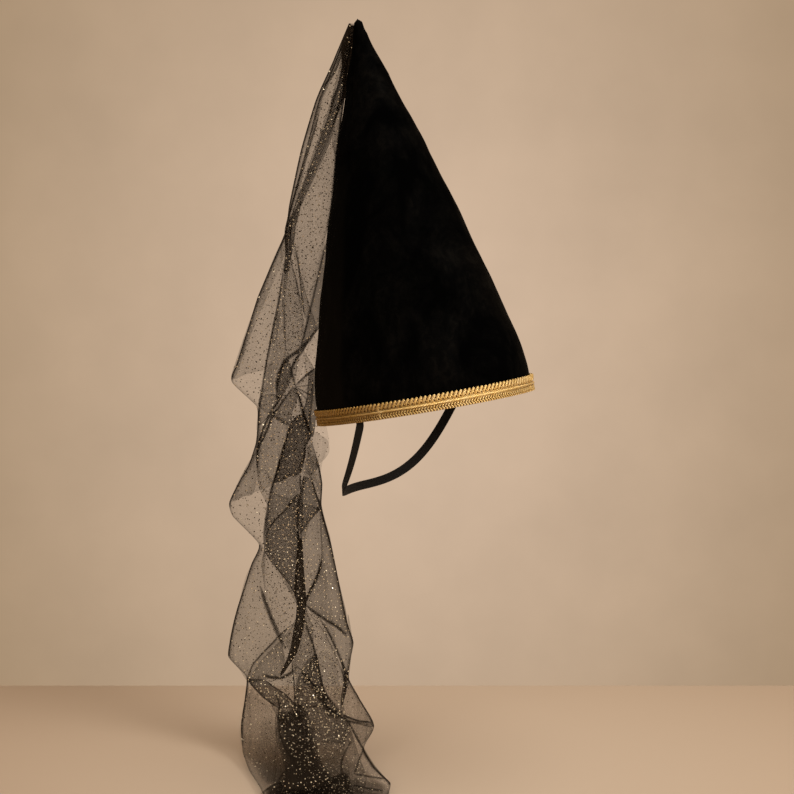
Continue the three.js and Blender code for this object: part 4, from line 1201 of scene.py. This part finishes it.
def makeFloor():
    material, tree, shader = newMaterial("floor", {"Roughness": 0.9, "Specular IOR Level": 0.1})
    dusty = noiseNode(tree, {"Scale": 9.0, "Detail": 4.0})
    place = textureSpace(tree, "Object")
    reach = addNode(tree, "VectorMath", {0: place}, operation="LENGTH").outputs["Value"]
    near = mixColors(tree, dusty, linear(186, 168, 148), linear(191, 173, 153))
    # Painted pool of light: the floor is lighter near the hat and darker farther out
    dimmedOutwards = mixColors(tree, remap(tree, reach, 0.34, 0.6), near, linear(176, 155, 133))
    tree.links.new(dimmedOutwards, shader["Base Color"])
    middle = Vector((0, 0, floorZ))
    corners = [middle + right * x * 6 + awayFlat * y * 6 for x, y in ((-1, -1), (1, -1), (1, 1), (-1, 1))]
    stagePiece("floor", corners, material)


# A glowing wall behind the hat, seen only from its front
def makeWall():
    material = bpy.data.materials.new("wall")
    material.use_nodes = True
    tree = material.node_tree
    tree.nodes.clear()
    output = tree.nodes.new("ShaderNodeOutputMaterial")
    place = textureSpace(tree, "Object")
    soft = noiseNode(tree, {"Scale": 7.0, "Detail": 5.0, "Roughness": 0.55, "Vector": place})
    squat = addNode(tree, "VectorMath", {0: place, 1: (1, 1, 0.72)}, operation="MULTIPLY").outputs[0]
    reach = addNode(tree, "VectorMath", {0: squat}, operation="LENGTH").outputs["Value"]
    # Painted pool of light: the glow is brightest in the middle and darker outwards
    shade = mixColors(tree, remap(tree, reach, 0.1, 0.5), linear(211, 184, 158), linear(172, 146, 117))
    blotch = mixColors(tree, remap(tree, soft, 0.3, 0.7), linear(244, 244, 244), linear(255, 255, 255))
    glow = addNode(tree, "Emission", {"Color": mixColors(tree, 1.0, shade, blotch, "MULTIPLY")}).outputs[0]
    clear = tree.nodes.new("ShaderNodeBsdfTransparent").outputs[0]
    behind = tree.nodes.new("ShaderNodeNewGeometry").outputs["Backfacing"]
    pick = addNode(tree, "MixShader", {0: behind, 1: glow, 2: clear}).outputs[0]
    tree.links.new(pick, output.inputs["Surface"])
    made = stagePiece("wall", [(-2.5, 0, -2.5), (2.5, 0, -2.5), (2.5, 0, 2.5), (-2.5, 0, 2.5)], material)
    # its middle is behind the hat, and its lower edge is cut by the floor
    turnTo(made, right, awayFlat, (0, 0, 1), awayFlat * wallBack + Vector((0, 0, 0.02)) - right * 0.01)


makeFloor()
makeWall()


# A round light; its place is right, ahead and up from the hat
def areaLight(name, place, target, size, power):
    light = bpy.data.lights.new(name, "AREA")
    light.shape = "DISK"
    light.size = size
    light.energy = power
    light.color = (1.0, 0.965, 0.92)
    made = bpy.data.objects.new(name, light)
    made.location = right * place[0] + awayFlat * place[1] + Vector((0, 0, place[2]))
    made.rotation_euler = (Vector((0, 0, target)) - made.location).to_track_quat("-Z", "Y").to_euler()
    scene.collection.objects.link(made)


areaLight("key", (1.5, -1.3, 1.3), 0, 1.0, 40)
areaLight("top", (0.3, -0.4, 1.9), -0.1, 1.2, 16)
areaLight("fill", (-1.4, -1.5, 0.8), 0, 1.0, 7)
world = bpy.data.worlds.new("studio")
world.use_nodes = True
background = world.node_tree.nodes["Background"].inputs
background["Color"].default_value = linear(200, 176, 150)
background["Strength"].default_value = 0.75
scene.world = world
scene.view_settings.view_transform = "Standard"
scene.cycles.transparent_max_bounces = 48
print("stage made")
